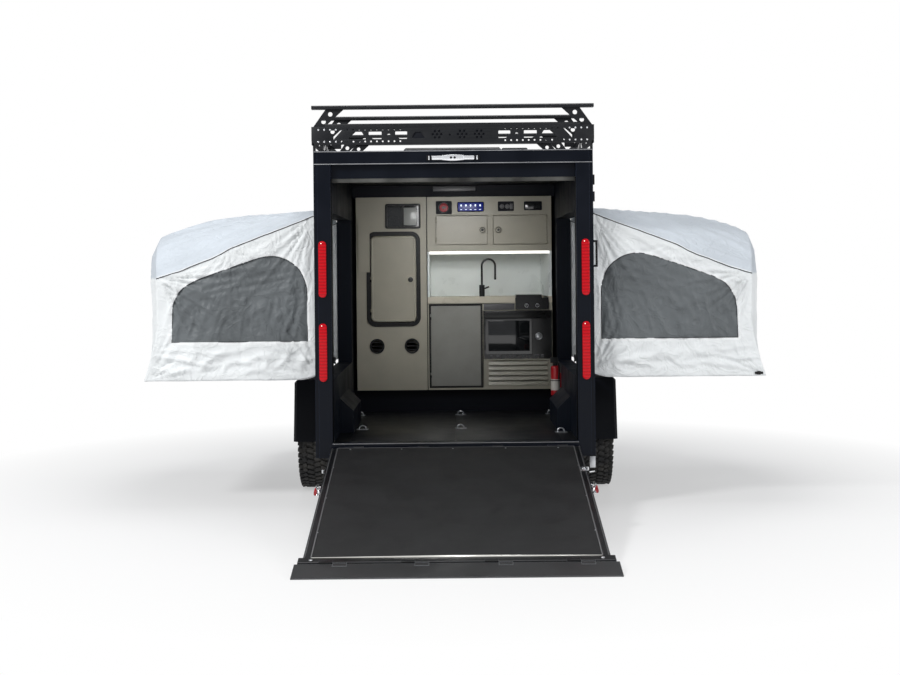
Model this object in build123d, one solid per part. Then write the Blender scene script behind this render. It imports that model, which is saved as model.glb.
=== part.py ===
from build123d import *
import math
import os

# Off-road toy-hauler camping trailer: a box body with a rear ramp door, a fold-out
# tent bed on each side, a galley and a bath cupboard at the front end, a perforated
# roof rack and an A-frame tongue with a jack.
# Millimetres. X to the right, Y forward to the coupler, Z up from the ground. While
# the pieces are made, Y is 0 at the rear face of the body. They are written with the
# middle of the whole length at Y = 0.

# Body shell
BODY_WIDTH = 1980
BODY_LENGTH = 3050
BODY_TOP = 2540
FLOOR_TOP = 468
FLOOR_THICKNESS = 60
WALL_THICKNESS = 120
ROOF_THICKNESS = 120
FRONT_WALL_THICKNESS = 60
NOSE_CHAMFER = 90

# Rear frame with the ramp opening
FRAME_DEPTH = 100
FRAME_BOTTOM = 369
OPENING_TOP = 2350
HEADER_BOTTOM = 2446
HEADER_STEP = 40
FLANGE_WIDTH = 26
FLANGE_STEP = 8

# Wheels and suspension
WHEEL_Y = 1050
TYRE_RADIUS = 385
TYRE_WIDTH = 245
TYRE_OUTER_X = 1200
LUG_HEIGHT = 14
LUG_ROOT = 24
LUG_COUNT = 20
RIM_RADIUS = 222
RIM_WALL = 12
HUB_RADIUS = 75
SPOKE_COUNT = 8
SPINDLE_RADIUS = 22
SPINDLE_CLEARANCE = 0.3
AXLE_BEAM = 80
AXLE_BEAM_Z = 268
TRAILING_ARM = 170
ARM_THICKNESS = 40
DRUM_RADIUS = 135
DRUM_WIDTH = 60

# Wheel wells and fenders
WELL_INNER_X = 770
WELL_LENGTH = 820
WELL_INNER_TOP = 633
WELL_OUTER_TOP = 845
WELL_SHEET = 6
FENDER_OUTER_X = 1220
FENDER_BOTTOM = 408
FENDER_TOP = 865
FENDER_FOOT_LENGTH = 900
FENDER_TOP_LENGTH = 720
FENDER_SHEET = 6
FENDER_SKIRT = 62
FENDER_CHAMFER = 20

# Chassis and tongue
RAIL_X = 450
RAIL_WIDTH = 50
RAIL_HEIGHT = 90
CROSS_COUNT = 5
CROSS_HEIGHT = 50
TONGUE_LENGTH = 1250
TONGUE_ROOT = 620
COUPLER_LENGTH = 230
COUPLER_WIDTH = 84
COUPLER_HEIGHT = 74
BALL_BORE = 25.6
BALL_BORE_DEPTH = 32
JACK_SETBACK = 330
JACK_TUBE_RADIUS = 32
JACK_LEG_RADIUS = 26
JACK_WALL = 5.5
JACK_TUBE_BOTTOM = 230
JACK_TUBE_TOP = 780
JACK_FOOT = 150
JACK_FOOT_THICKNESS = 10
JACK_TRAVEL = 190
BOTTLE_RADIUS = 150
BOTTLE_HEIGHT = 440
BOTTLE_SPACING = 330
BOTTLE_SETBACK = 200
TRAY_THICKNESS = 8

# Ramp door, shown lowered
RAMP_HINGE_Z = 447
RAMP_STANDOFF = 24
RAMP_LENGTH = 1930
RAMP_HALF_WIDTH = 877
RAMP_THICKNESS = 50
RAMP_DECK = 12
RAMP_RAIL = 45
RAMP_START = 20
RAMP_RIB_COUNT = 3
END_BAR_LENGTH = 72
END_BAR_OVERHANG = 26
FLAP_THICKNESS = 8
FLAP_PIVOT_HEIGHT = 4
FLAP_PIVOT_OUT = 7
FLAP_OVERHANG = 16
LATCH_PLACE = 780

# Fold-out tent beds
BED_REAR_Y = 150
BED_FRONT_Y = 1890
BED_SILL_Z = 915
BED_OPENING_TOP = 2112
BED_PIVOT_OUT = 10
BED_PIVOT_Z = 925
BED_HINGE_RADIUS = 6
BED_LEAF = 4
BED_TOP_GAP = 12
BED_SIDE_GAP = 6
PLATFORM_THICKNESS = 35
MATTRESS_THICKNESS = 70
MATTRESS_MARGIN = 40
CANVAS_THICKNESS = 10
CANVAS_BOTTOM = 905
CANVAS_CLEARANCE = 3

# Lamps and small fittings of the body
TAIL_LAMP_X = 931
TAIL_LAMP_WIDTH = 46
TAIL_LAMP_DEPTH = 12
TAIL_LAMP_SPANS = ((1510, 1900), (915, 1317))
HEADER_LAMP_HALF = 190
HEADER_LAMP_HEIGHT = 38
HEADER_LAMP_Z = 2486
HEADER_LAMP_DEPTH = 24
TIE_RING_RADIUS = 26
TIE_RING_BAR = 5
GRAB_HANDLE_Y = 60

# Roof rack
RACK_HALF_WIDTH = 1000
RACK_LENGTH = 2900
RACK_PLATE_BOTTOM = 2586
RACK_PLATE_TOP = 2713
RACK_SHEET = 6
RACK_TUBE = 20
RACK_TUBE_HALF = 905
RACK_FOOT_LENGTH = 140
LOAD_BAR_TOP = 2864
LOAD_BAR_HEIGHT = 25
LOAD_BAR_DEPTH = 60
LOAD_BAR_COUNT = 5
STRUT_FOOT_X = 950
STRUT_HEAD_X = 860
STRUT_WIDTH = 70
STRUT_SHEET = 8
STRUT_HOLE_RADIUS = 16

# Galley and bath cupboard
GALLEY_FRONT_Y = 2050
GALLEY_HALF = 840
GALLEY_SPLIT_X = -232
GALLEY_SPLIT_GAP = 8
GALLEY_BOTTOM = 656
GALLEY_TOP = 2315
PANEL = 18
DOOR_GAP = 5
PLINTH_SETBACK = 60
BULKHEAD_SETBACK = 40
HINGE_RADIUS = 5
HINGE_LENGTH = 46
HINGE_LEAF = 3
HINGE_PLAY = 0.3
OVERHEAD_BOTTOM = 1845
RECESS_BOTTOM = 1454
RECESS_DEPTH = 350
RECESS_SIDE = 80
COUNTER_THICKNESS = 55
COUNTER_LIP = 14
APPLIANCE_DEPTH = 420

BODY_HALF = BODY_WIDTH / 2
INNER_HALF = BODY_HALF - WALL_THICKNESS
FLOOR_BOTTOM = FLOOR_TOP - FLOOR_THICKNESS
ROOF_BOTTOM = BODY_TOP - ROOF_THICKNESS
TYRE_MID_X = TYRE_OUTER_X - TYRE_WIDTH / 2
WELL_REAR_Y = WHEEL_Y - WELL_LENGTH / 2
WELL_FRONT_Y = WHEEL_Y + WELL_LENGTH / 2
RAIL_BOTTOM = FLOOR_BOTTOM - RAIL_HEIGHT
TONGUE_TIP_Y = BODY_LENGTH + TONGUE_LENGTH
COUPLER_FRONT_Y = TONGUE_TIP_Y + COUPLER_LENGTH / 2
RAMP_SLOPE = math.degrees(
    math.asin(RAMP_HINGE_Z / math.hypot(RAMP_LENGTH, RAMP_THICKNESS))
    - math.atan(RAMP_THICKNESS / RAMP_LENGTH)
)
RAMP_SIN = math.sin(math.radians(RAMP_SLOPE))
RAMP_COS = math.cos(math.radians(RAMP_SLOPE))
FLAP_REACH = (RAMP_HINGE_Z - FLAP_THICKNESS * RAMP_COS) / RAMP_SIN
FLAP_TIP_Y = -RAMP_STANDOFF - FLAP_REACH * RAMP_COS
MIDDLE_Y = (COUPLER_FRONT_Y + FLAP_TIP_Y) / 2
BED_PIVOT_X = BODY_HALF + BED_PIVOT_OUT
PLATFORM_END_X = BED_PIVOT_X + BED_OPENING_TOP - BED_TOP_GAP - BED_PIVOT_Z
KITCHEN_LEFT_X = GALLEY_SPLIT_X + GALLEY_SPLIT_GAP / 2
WARDROBE_RIGHT_X = GALLEY_SPLIT_X - GALLEY_SPLIT_GAP / 2
GALLEY_BACK_Y = BODY_LENGTH - FRONT_WALL_THICKNESS
COUNTER_BOTTOM = RECESS_BOTTOM - COUNTER_THICKNESS

SIDES = (("left", -1), ("right", 1))
pieces = {}


def block(x0, x1, y0, y1, z0, z1):
    """A box between two corners, whichever way round each pair is given."""
    size = (abs(x1 - x0), abs(y1 - y0), abs(z1 - z0))
    middle = ((x0 + x1) / 2, (y0 + y1) / 2, (z0 + z1) / 2)
    return Pos(*middle) * Box(*size)


def outline(points):
    """A flat face with straight edges through the points."""
    return make_face(Polyline(*points, close=True))


def prism_x(points_yz, x0, x1):
    """A profile seen from the side, drawn out from x0 to x1."""
    return Pos(x0, 0, 0) * extrude(Plane.YZ * outline(points_yz), amount=x1 - x0)


def prism_y(points_xz, y0, y1):
    """A profile seen from behind, drawn out from y0 to y1."""
    return Pos(0, y1, 0) * extrude(Plane.XZ * outline(points_xz), amount=y1 - y0)


def prism_z(points_xy, z0, z1):
    """A profile seen from above, drawn out from z0 to z1."""
    return Pos(0, 0, z0) * extrude(outline(points_xy), amount=z1 - z0)


def rod(start, end, radius):
    """A round bar from start to end."""
    way = Vector(*end) - Vector(*start)
    plane = Plane(origin=start, z_dir=way)
    return plane * Cylinder(radius, way.length, align=(Align.CENTER, Align.CENTER, Align.MIN))


def mirrored(shape):
    """The same shape on the other side of the trailer."""
    return mirror(shape, about=Plane.YZ)


def both_sides(shape):
    """A shape and its mirror image."""
    return shape + mirrored(shape)


def on_side(shape, side):
    """The right-hand shape as it is, or mirrored for the left."""
    return shape if side > 0 else mirrored(shape)


def barrel(x, y, z, direction):
    """Half a hinge barrel upright at x, y, from z up or down by the barrel's length."""
    start = z + direction * HINGE_PLAY / 2
    return rod((x, y, start), (x, y, start + direction * HINGE_LENGTH / 2), HINGE_RADIUS)


def hinge_half(x, face_y, z, direction, reach):
    """A barrel half with the thin leaf that lies on a front face."""
    start = z + direction * HINGE_PLAY / 2
    end = start + direction * HINGE_LENGTH / 2
    leaf = block(x, x + reach, face_y - HINGE_LEAF, face_y, start, end)
    return barrel(x, face_y - HINGE_RADIUS, z, direction) + leaf


def hinges(x, face_y, heights, door_reach):
    """The fixed halves and the door's halves of a row of upright hinges."""
    fixed = [hinge_half(x, face_y, z, -1, -door_reach) for z in heights]
    moving = [hinge_half(x, face_y, z, 1, door_reach) for z in heights]
    return fixed, moving


def fuse(shape, others):
    """One shape joined with a list of others."""
    for other in others:
        shape = shape + other
    return shape


def well_prism():
    """The whole space of the right wheel well, as drawn from behind."""
    points = [
        (WELL_INNER_X, FLOOR_BOTTOM),
        (WELL_INNER_X, WELL_INNER_TOP),
        (BODY_HALF, WELL_OUTER_TOP),
        (BODY_HALF, FLOOR_BOTTOM),
    ]
    return prism_y(points, WELL_REAR_Y, WELL_FRONT_Y)


def make_floor():
    """The composite floor, notched round both wheel wells."""
    deck = block(-BODY_HALF, BODY_HALF, FRAME_DEPTH, BODY_LENGTH, FLOOR_BOTTOM, FLOOR_TOP)
    notch = block(WELL_INNER_X, BODY_HALF, WELL_REAR_Y, WELL_FRONT_Y, FLOOR_BOTTOM, FLOOR_TOP)
    return deck - both_sides(notch)


def make_side_wall():
    """The right side wall, cut for the bed and the wheel well."""
    wall = block(INNER_HALF, BODY_HALF, FRAME_DEPTH, BODY_LENGTH, FLOOR_TOP, ROOF_BOTTOM)
    bed = block(INNER_HALF, BODY_HALF, BED_REAR_Y, BED_FRONT_Y, BED_SILL_Z, BED_OPENING_TOP)
    wall = wall - bed - well_prism()
    hinge = bed_hinge_rows()[0]
    return fuse(wall, hinge)


def bed_hinge_rows():
    """Wall halves and platform halves of the bed's hinges, along Y."""
    wall_halves = []
    bed_halves = []
    span = BED_FRONT_Y - BED_REAR_Y
    radius = BED_HINGE_RADIUS
    leaf_low = BED_PIVOT_Z - radius - 24
    for share in (0.12, 0.5, 0.88):
        y = BED_REAR_Y + share * span
        near = (y - HINGE_PLAY / 2 - HINGE_LENGTH, y - HINGE_PLAY / 2)
        far = (y + HINGE_PLAY / 2, y + HINGE_PLAY / 2 + HINGE_LENGTH)
        pin_near = rod((BED_PIVOT_X, near[0], BED_PIVOT_Z), (BED_PIVOT_X, near[1], BED_PIVOT_Z), radius)
        pin_far = rod((BED_PIVOT_X, far[0], BED_PIVOT_Z), (BED_PIVOT_X, far[1], BED_PIVOT_Z), radius)
        wall_leaf = block(BODY_HALF, BED_PIVOT_X, *near, leaf_low, BED_PIVOT_Z)
        wall_leaf -= block(BODY_HALF + BED_LEAF, BED_PIVOT_X, *near, leaf_low, BED_PIVOT_Z - radius)
        bed_leaf = block(BED_PIVOT_X, BED_PIVOT_X + 60, *far, BED_PIVOT_Z - BED_LEAF, BED_PIVOT_Z)
        wall_halves.append(pin_near + wall_leaf)
        bed_halves.append(pin_far + bed_leaf)
    return wall_halves, bed_halves


def make_front_wall():
    """The front wall between the side walls."""
    return block(-INNER_HALF, INNER_HALF, BODY_LENGTH - FRONT_WALL_THICKNESS, BODY_LENGTH,
                 FLOOR_TOP, ROOF_BOTTOM)


def make_roof():
    """The roof panel with its chamfered front edge."""
    roof = block(-BODY_HALF, BODY_HALF, FRAME_DEPTH, BODY_LENGTH, ROOF_BOTTOM, BODY_TOP)
    front_edges = roof.edges().filter_by(Axis.X).sort_by(lambda e: e.center().Y + e.center().Z)
    return chamfer(front_edges[-1], NOSE_CHAMFER)


def make_rear_frame():
    """Posts, header and sill as one welded frame with stepped edges."""
    frame = block(-BODY_HALF, BODY_HALF, 0, FRAME_DEPTH, FRAME_BOTTOM, BODY_TOP)
    frame -= block(-INNER_HALF, INNER_HALF, 0, FRAME_DEPTH, FLOOR_TOP, OPENING_TOP)
    frame -= block(-INNER_HALF, INNER_HALF, 0, HEADER_STEP, OPENING_TOP, HEADER_BOTTOM)
    step = block(BODY_HALF - FLANGE_WIDTH, BODY_HALF, 0, FLANGE_STEP, FRAME_BOTTOM, BODY_TOP)
    frame -= both_sides(step)
    for x in ramp_hinge_places():
        frame += sill_hinge(x)
    return frame


def ramp_hinge_places():
    """Where the ramp's hinges sit along the sill."""
    return [share * RAMP_HALF_WIDTH for share in (-0.82, -0.3, 0.3, 0.82)]


def sill_hinge(x):
    """The body's half of a ramp hinge: a barrel on a short bracket."""
    radius = 8
    pin = rod((x - 70, -RAMP_STANDOFF, RAMP_HINGE_Z), (x, -RAMP_STANDOFF, RAMP_HINGE_Z), radius)
    arm = block(x - 70, x, -RAMP_STANDOFF, 0, RAMP_HINGE_Z - radius, RAMP_HINGE_Z + 2)
    return pin + arm


def make_wheel_wells():
    """Two sheet-metal boxes over the tyres, open below and outside."""
    outer = well_prism()
    inner_points = [
        (WELL_INNER_X + WELL_SHEET, FLOOR_BOTTOM),
        (WELL_INNER_X + WELL_SHEET, WELL_INNER_TOP - WELL_SHEET),
        (BODY_HALF, WELL_OUTER_TOP - 1.7 * WELL_SHEET),
        (BODY_HALF, FLOOR_BOTTOM),
    ]
    inner = prism_y(inner_points, WELL_REAR_Y + WELL_SHEET, WELL_FRONT_Y - WELL_SHEET)
    return both_sides(outer - inner)


def fender_profile(inset):
    """The fender seen from the side, drawn in by an inset."""
    foot = FENDER_FOOT_LENGTH / 2 - inset
    top = FENDER_TOP_LENGTH / 2 - inset * 0.8
    return [
        (WHEEL_Y - foot, FENDER_BOTTOM),
        (WHEEL_Y - top, FENDER_TOP - inset),
        (WHEEL_Y + top, FENDER_TOP - inset),
        (WHEEL_Y + foot, FENDER_BOTTOM),
    ]


def make_fender():
    """The right fender: a boxy cover with an open wheel side and a deep skirt."""
    cover = prism_x(fender_profile(0), BODY_HALF, FENDER_OUTER_X)
    edges = cover.faces().sort_by(Axis.X)[-1].edges()
    lowest = edges.sort_by(Axis.Z)[0]
    cover = chamfer([e for e in edges if e != lowest], FENDER_CHAMFER)
    cover -= prism_x(fender_profile(FENDER_SHEET), BODY_HALF, FENDER_OUTER_X - FENDER_CHAMFER)
    cover -= prism_x(fender_profile(FENDER_SKIRT), BODY_HALF, FENDER_OUTER_X)
    return cover


def make_chassis():
    """Two main rails, cross-members and the A-frame tongue, welded into one."""
    rail = block(RAIL_X - RAIL_WIDTH / 2, RAIL_X + RAIL_WIDTH / 2, FRAME_DEPTH, BODY_LENGTH,
                 RAIL_BOTTOM, FLOOR_BOTTOM)
    frame = both_sides(rail)
    pitch = (BODY_LENGTH - FRAME_DEPTH - RAIL_WIDTH) / (CROSS_COUNT - 1)
    for index in range(CROSS_COUNT):
        y = FRAME_DEPTH + index * pitch
        if abs(y + RAIL_WIDTH / 2 - WHEEL_Y) < WELL_LENGTH / 2:
            half = RAIL_X
        else:
            half = BODY_HALF - RAIL_WIDTH
        frame += block(-half, half, y, y + RAIL_WIDTH, FLOOR_BOTTOM - CROSS_HEIGHT, FLOOR_BOTTOM)
    frame += both_sides(tongue_rail())
    tray_y = BODY_LENGTH + BOTTLE_SETBACK
    tray_half = BOTTLE_SPACING / 2 + BOTTLE_RADIUS + 10
    frame += block(-tray_half, tray_half, tray_y - BOTTLE_RADIUS - 10, tray_y + BOTTLE_RADIUS + 10,
                   FLOOR_BOTTOM, FLOOR_BOTTOM + TRAY_THICKNESS)
    frame += block(-RAIL_WIDTH, RAIL_WIDTH, jack_y() - 60, jack_y() + 60,
                   FLOOR_BOTTOM - RAIL_HEIGHT, FLOOR_BOTTOM - RAIL_HEIGHT + 12)
    frame -= rod((0, jack_y(), 0), (0, jack_y(), BODY_TOP), JACK_TUBE_RADIUS)
    return frame


def tongue_rail():
    """The right rail of the A-frame, from under the floor to the coupler."""
    root = (RAIL_X, BODY_LENGTH - TONGUE_ROOT)
    tip = (COUPLER_WIDTH / 2 - 4, TONGUE_TIP_Y)
    run = math.hypot(tip[0] - root[0], tip[1] - root[1])
    away = (RAIL_WIDTH * (tip[1] - root[1]) / run, RAIL_WIDTH * (root[0] - tip[0]) / run)
    points = [root, tip, (tip[0] - away[0], tip[1]), (root[0] - away[0], root[1])]
    return prism_z(points, RAIL_BOTTOM, FLOOR_BOTTOM)


def jack_y():
    """Where the jack stands on the tongue."""
    return TONGUE_TIP_Y - JACK_SETBACK


def make_coupler():
    """The ball coupler: a pressed channel with a rounded nose and a latch lever."""
    half = COUPLER_WIDTH / 2
    y0 = COUPLER_FRONT_Y - COUPLER_LENGTH
    body = block(-half, half, y0, COUPLER_FRONT_Y - half, FLOOR_BOTTOM, FLOOR_BOTTOM + COUPLER_HEIGHT)
    nose_y = COUPLER_FRONT_Y - half
    body += rod((0, nose_y, FLOOR_BOTTOM), (0, nose_y, FLOOR_BOTTOM + COUPLER_HEIGHT), half)
    top_edges = body.faces().sort_by(Axis.Z)[-1].edges()
    body = fillet(top_edges, 14)
    body -= rod((0, nose_y, FLOOR_BOTTOM - 1), (0, nose_y, FLOOR_BOTTOM + BALL_BORE_DEPTH), BALL_BORE)
    body -= Pos(0, nose_y, FLOOR_BOTTOM + BALL_BORE_DEPTH) * Sphere(BALL_BORE)
    lever = prism_x(
        [
            (nose_y - 130, FLOOR_BOTTOM + COUPLER_HEIGHT - 1),
            (nose_y - 60, FLOOR_BOTTOM + COUPLER_HEIGHT - 1),
            (nose_y - 74, FLOOR_BOTTOM + COUPLER_HEIGHT + 34),
            (nose_y - 118, FLOOR_BOTTOM + COUPLER_HEIGHT + 20),
        ],
        -9, 9,
    )
    return body + lever


def make_jack_tube():
    """The outer tube of the tongue jack with its head and crank."""
    y = jack_y()
    tube = rod((0, y, JACK_TUBE_BOTTOM), (0, y, JACK_TUBE_TOP), JACK_TUBE_RADIUS)
    head = rod((0, y, JACK_TUBE_TOP), (0, y, JACK_TUBE_TOP + 46), JACK_TUBE_RADIUS + 8)
    bore_radius = JACK_TUBE_RADIUS - JACK_WALL
    tube -= rod((0, y, JACK_TUBE_BOTTOM), (0, y, JACK_TUBE_TOP - 20), bore_radius)
    crank_z = JACK_TUBE_TOP + 46
    crank = rod((0, y, crank_z), (0, y, crank_z + 30), 8)
    crank += rod((0, y, crank_z + 24), (0, y - 150, crank_z + 24), 7)
    crank += rod((0, y - 150, crank_z + 17), (0, y - 150, crank_z + 110), 10)
    return tube + head + crank


def make_jack_leg():
    """The inner leg of the jack with its foot plate on the ground."""
    y = jack_y()
    leg = rod((0, y, JACK_FOOT_THICKNESS), (0, y, JACK_TUBE_TOP - JACK_TRAVEL - 40), JACK_LEG_RADIUS)
    half = JACK_FOOT / 2
    foot = block(-half, half, y - half, y + half, 0, JACK_FOOT_THICKNESS)
    return leg + foot


def make_bottles():
    """Two gas bottles with domed ends, foot rings and collars."""
    y = BODY_LENGTH + BOTTLE_SETBACK
    z = FLOOR_BOTTOM + TRAY_THICKNESS
    foot = 24
    dome = 70
    profile = make_face(
        Polyline((0, foot), (BOTTLE_RADIUS * 0.7, foot - 6), (BOTTLE_RADIUS * 0.7, 0),
                 (BOTTLE_RADIUS * 0.76, 0), (BOTTLE_RADIUS * 0.76, foot), (BOTTLE_RADIUS, dome))
        + Line((BOTTLE_RADIUS, dome), (BOTTLE_RADIUS, BOTTLE_HEIGHT - 130))
        + ThreePointArc((BOTTLE_RADIUS, BOTTLE_HEIGHT - 130),
                        (BOTTLE_RADIUS * 0.76, BOTTLE_HEIGHT - 78),
                        (BOTTLE_RADIUS * 0.3, BOTTLE_HEIGHT - 60))
        + Polyline((BOTTLE_RADIUS * 0.3, BOTTLE_HEIGHT - 60), (BOTTLE_RADIUS * 0.3, BOTTLE_HEIGHT),
                   (0, BOTTLE_HEIGHT), (0, foot))
    )
    bottle = revolve(Plane.XZ * profile, Axis.Z)
    right = Pos(BOTTLE_SPACING / 2, y, z) * bottle
    return Compound(children=[right, Pos(-BOTTLE_SPACING, 0, 0) * right])


def make_axle():
    """The torsion beam with trailing arms, brake drums and wheel spindles."""
    arm_rise = TYRE_RADIUS - AXLE_BEAM_Z
    beam_y = WHEEL_Y + math.sqrt(TRAILING_ARM**2 - arm_rise**2)
    arm_outer = TYRE_MID_X - TYRE_WIDTH / 2 - 50
    beam = block(-arm_outer + ARM_THICKNESS, arm_outer - ARM_THICKNESS,
                 beam_y - AXLE_BEAM / 2, beam_y + AXLE_BEAM / 2,
                 AXLE_BEAM_Z - AXLE_BEAM / 2, AXLE_BEAM_Z + AXLE_BEAM / 2)
    beam_top = AXLE_BEAM_Z + AXLE_BEAM / 2
    seat = block(RAIL_X - RAIL_WIDTH, RAIL_X + RAIL_WIDTH, beam_y - 70, beam_y + 70,
                 beam_top, RAIL_BOTTOM)
    way = (WHEEL_Y - beam_y, TYRE_RADIUS - AXLE_BEAM_Z)
    across = (-way[1] / TRAILING_ARM, way[0] / TRAILING_ARM)
    half = 38
    arm_points = []
    for end, sign in ((0, 1), (1, 1), (1, -1), (0, -1)):
        arm_points.append((
            beam_y + way[0] * end + across[0] * half * sign,
            AXLE_BEAM_Z + way[1] * end + across[1] * half * sign,
        ))
    arm = prism_x(arm_points, arm_outer - ARM_THICKNESS, arm_outer)
    arm += rod((arm_outer - ARM_THICKNESS, beam_y, AXLE_BEAM_Z), (arm_outer, beam_y, AXLE_BEAM_Z), 52)
    arm += rod((arm_outer - ARM_THICKNESS, WHEEL_Y, TYRE_RADIUS), (arm_outer, WHEEL_Y, TYRE_RADIUS), 46)
    spindle = rod((arm_outer, WHEEL_Y, TYRE_RADIUS), (TYRE_MID_X + 20, WHEEL_Y, TYRE_RADIUS),
                  SPINDLE_RADIUS)
    return fuse(beam, [both_sides(seat), both_sides(arm), both_sides(spindle)])


def wheel_profile():
    """Half section of the rim: radius against place along the axle, outer side up."""
    half = TYRE_WIDTH / 2 - 18
    lip = RIM_RADIUS + 10
    well = RIM_RADIUS - 34
    return [
        (lip, -half), (lip, -half + 8), (RIM_RADIUS, -half + 14), (RIM_RADIUS, -half + 50),
        (well, -half + 76), (well, half - 60), (RIM_RADIUS, half - 40), (RIM_RADIUS, half - 14),
        (lip, half - 8), (lip, half), (RIM_RADIUS - RIM_WALL, half),
        (well - RIM_WALL, half - 62), (well - RIM_WALL, -half + 70),
        (RIM_RADIUS - RIM_WALL, -half + 44), (RIM_RADIUS - RIM_WALL, -half),
    ]


def wheel_place(shape):
    """Turn a shape made about the Z axis onto the right wheel's axle."""
    return Pos(TYRE_MID_X, WHEEL_Y, TYRE_RADIUS) * Rot(0, 90, 0) * shape


def make_wheel():
    """The right wheel: rim, spoked disc, hub and brake drum in one."""
    rim = revolve(Plane.XZ * outline(wheel_profile()), Axis.Z)
    disc_z = 28
    disc = Pos(0, 0, disc_z) * Cylinder(RIM_RADIUS - 40, 16)
    for index in range(SPOKE_COUNT):
        turn = Rot(0, 0, index * 360 / SPOKE_COUNT)
        window = Pos(128, 0, disc_z) * Cylinder(30, 30)
        disc -= turn * window
    hub = Pos(0, 0, disc_z + 16) * Cylinder(HUB_RADIUS, 40)
    drum_z = disc_z - 8 - DRUM_WIDTH / 2
    drum = Pos(0, 0, drum_z) * Cylinder(DRUM_RADIUS, DRUM_WIDTH)
    wheel = rim + disc + hub + drum
    bore_length = TYRE_WIDTH
    wheel -= Pos(0, 0, 20.3 - bore_length / 2) * Cylinder(SPINDLE_RADIUS + SPINDLE_CLEARANCE, bore_length)
    return wheel_place(wheel)


# Tread rows of the tyre: low and high edge along the axle, share of a pitch, lug width
LUG_ROWS = (
    (-TYRE_WIDTH / 2, -TYRE_WIDTH / 2 + 58, 0.0, 74),
    (-TYRE_WIDTH / 2 + 70, -6, 0.45, 62),
    (6, TYRE_WIDTH / 2 - 70, 0.95, 62),
    (TYRE_WIDTH / 2 - 58, TYRE_WIDTH / 2, 0.5, 74),
)


def make_tyre():
    """The right tyre: a square-shouldered carcass with chunky shoulder and centre lugs."""
    half = TYRE_WIDTH / 2
    tread = TYRE_RADIUS - LUG_HEIGHT
    bead = RIM_RADIUS + 0.3
    section = outline([
        (bead, -half + 33), (bead + 11, -half + 26), (bead + 28, -half + 12),
        (tread - 60, -half + 4), (tread - 20, -half + 10), (tread, -half + 30),
        (tread, half - 30), (tread - 20, half - 10), (tread - 60, half - 4),
        (bead + 28, half - 12), (bead + 11, half - 26), (bead, half - 33),
    ])
    tyre = revolve(Plane.XZ * section, Axis.Z)
    lugs = []
    pitch = 360 / LUG_COUNT
    first_half = LUG_ROWS[0][3] / 2
    # The edge of one lug points straight down, so the tyre stands on the ground.
    turn = math.degrees(math.asin(first_half / TYRE_RADIUS))
    for low, high, shift, width in LUG_ROWS:
        top = math.sqrt(TYRE_RADIUS**2 - (width / 2) ** 2)
        lug = block(tread - LUG_ROOT, top, -width / 2, width / 2, low, high)
        lugs += [Rot(0, 0, (index + shift) * pitch + turn) * lug for index in range(LUG_COUNT)]
    return wheel_place(fuse(tyre, lugs))


def ramp_place(shape):
    """Lower a shape made flat behind the hinge onto the ramp's slope."""
    return Pos(0, -RAMP_STANDOFF, RAMP_HINGE_Z) * Rot(RAMP_SLOPE, 0, 0) * shape


def flat(x0, x1, start, end, low, high):
    """A block on the flat ramp: start and end are distances from the hinge."""
    return block(x0, x1, -end, -start, low, high)


def make_ramp_frame():
    """Side rails, ribs, hinge halves and the end bar of the ramp."""
    half = RAMP_HALF_WIDTH
    deck_end = RAMP_LENGTH - END_BAR_LENGTH
    frame = both_sides(flat(half - RAMP_RAIL, half, RAMP_START, deck_end, -RAMP_THICKNESS, 0))
    span = deck_end - RAMP_START
    ribs = RAMP_RIB_COUNT + 2
    for index in range(ribs):
        start = RAMP_START + index * (span - RAMP_RAIL) / (ribs - 1)
        frame += flat(-half, half, start, start + RAMP_RAIL, -RAMP_THICKNESS, -RAMP_DECK)
    bar_half = half + END_BAR_OVERHANG
    bar = flat(-bar_half, bar_half, deck_end, RAMP_LENGTH, -RAMP_THICKNESS, 0)
    frame += bar
    for x in ramp_hinge_places():
        pin = rod((x + HINGE_PLAY, 0, 0), (x + 70, 0, 0), 8)
        arm = flat(x + HINGE_PLAY, x + 70, 0, RAMP_START, -2 * RAMP_DECK, 0)
        frame += pin + arm
    for x in flap_hinge_places():
        pin = rod((x - 80, -flap_pivot()[0], flap_pivot()[1]), (x, -flap_pivot()[0], flap_pivot()[1]), 5)
        leaf = flat(x - 80, x, RAMP_LENGTH - 30, flap_pivot()[0], 0, HINGE_LEAF)
        leaf += flat(x - 80, x, RAMP_LENGTH, flap_pivot()[0], -2, HINGE_LEAF)
        frame += pin + leaf
    return ramp_place(frame)


def flap_pivot():
    """Distance from the ramp's hinge and height over the deck of the flap's pivot."""
    return RAMP_LENGTH + FLAP_PIVOT_OUT, FLAP_PIVOT_HEIGHT


def flap_hinge_places():
    """Where the flap's hinges sit along the end bar."""
    return [share * RAMP_HALF_WIDTH for share in (-0.8, -0.27, 0.27, 0.8)]


def make_ramp_deck():
    """The ramp's deck sheet, let in between the side rails."""
    half = RAMP_HALF_WIDTH - RAMP_RAIL
    return ramp_place(flat(-half, half, RAMP_START, RAMP_LENGTH - END_BAR_LENGTH, -RAMP_DECK, 0))


def make_flap():
    """The plate that bridges the step from the end bar to the ground."""
    half = RAMP_HALF_WIDTH + END_BAR_OVERHANG + FLAP_OVERHANG
    start, height = flap_pivot()
    plate = flat(-half, half, start + 8, FLAP_REACH, -FLAP_THICKNESS, 0)
    for x in flap_hinge_places():
        pin = rod((x + HINGE_PLAY, -start, height), (x + 80, -start, height), 5)
        leaf = flat(x + HINGE_PLAY, x + 80, start, start + 42, 0, HINGE_LEAF)
        plate += pin + leaf
    return ramp_place(plate)


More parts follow.
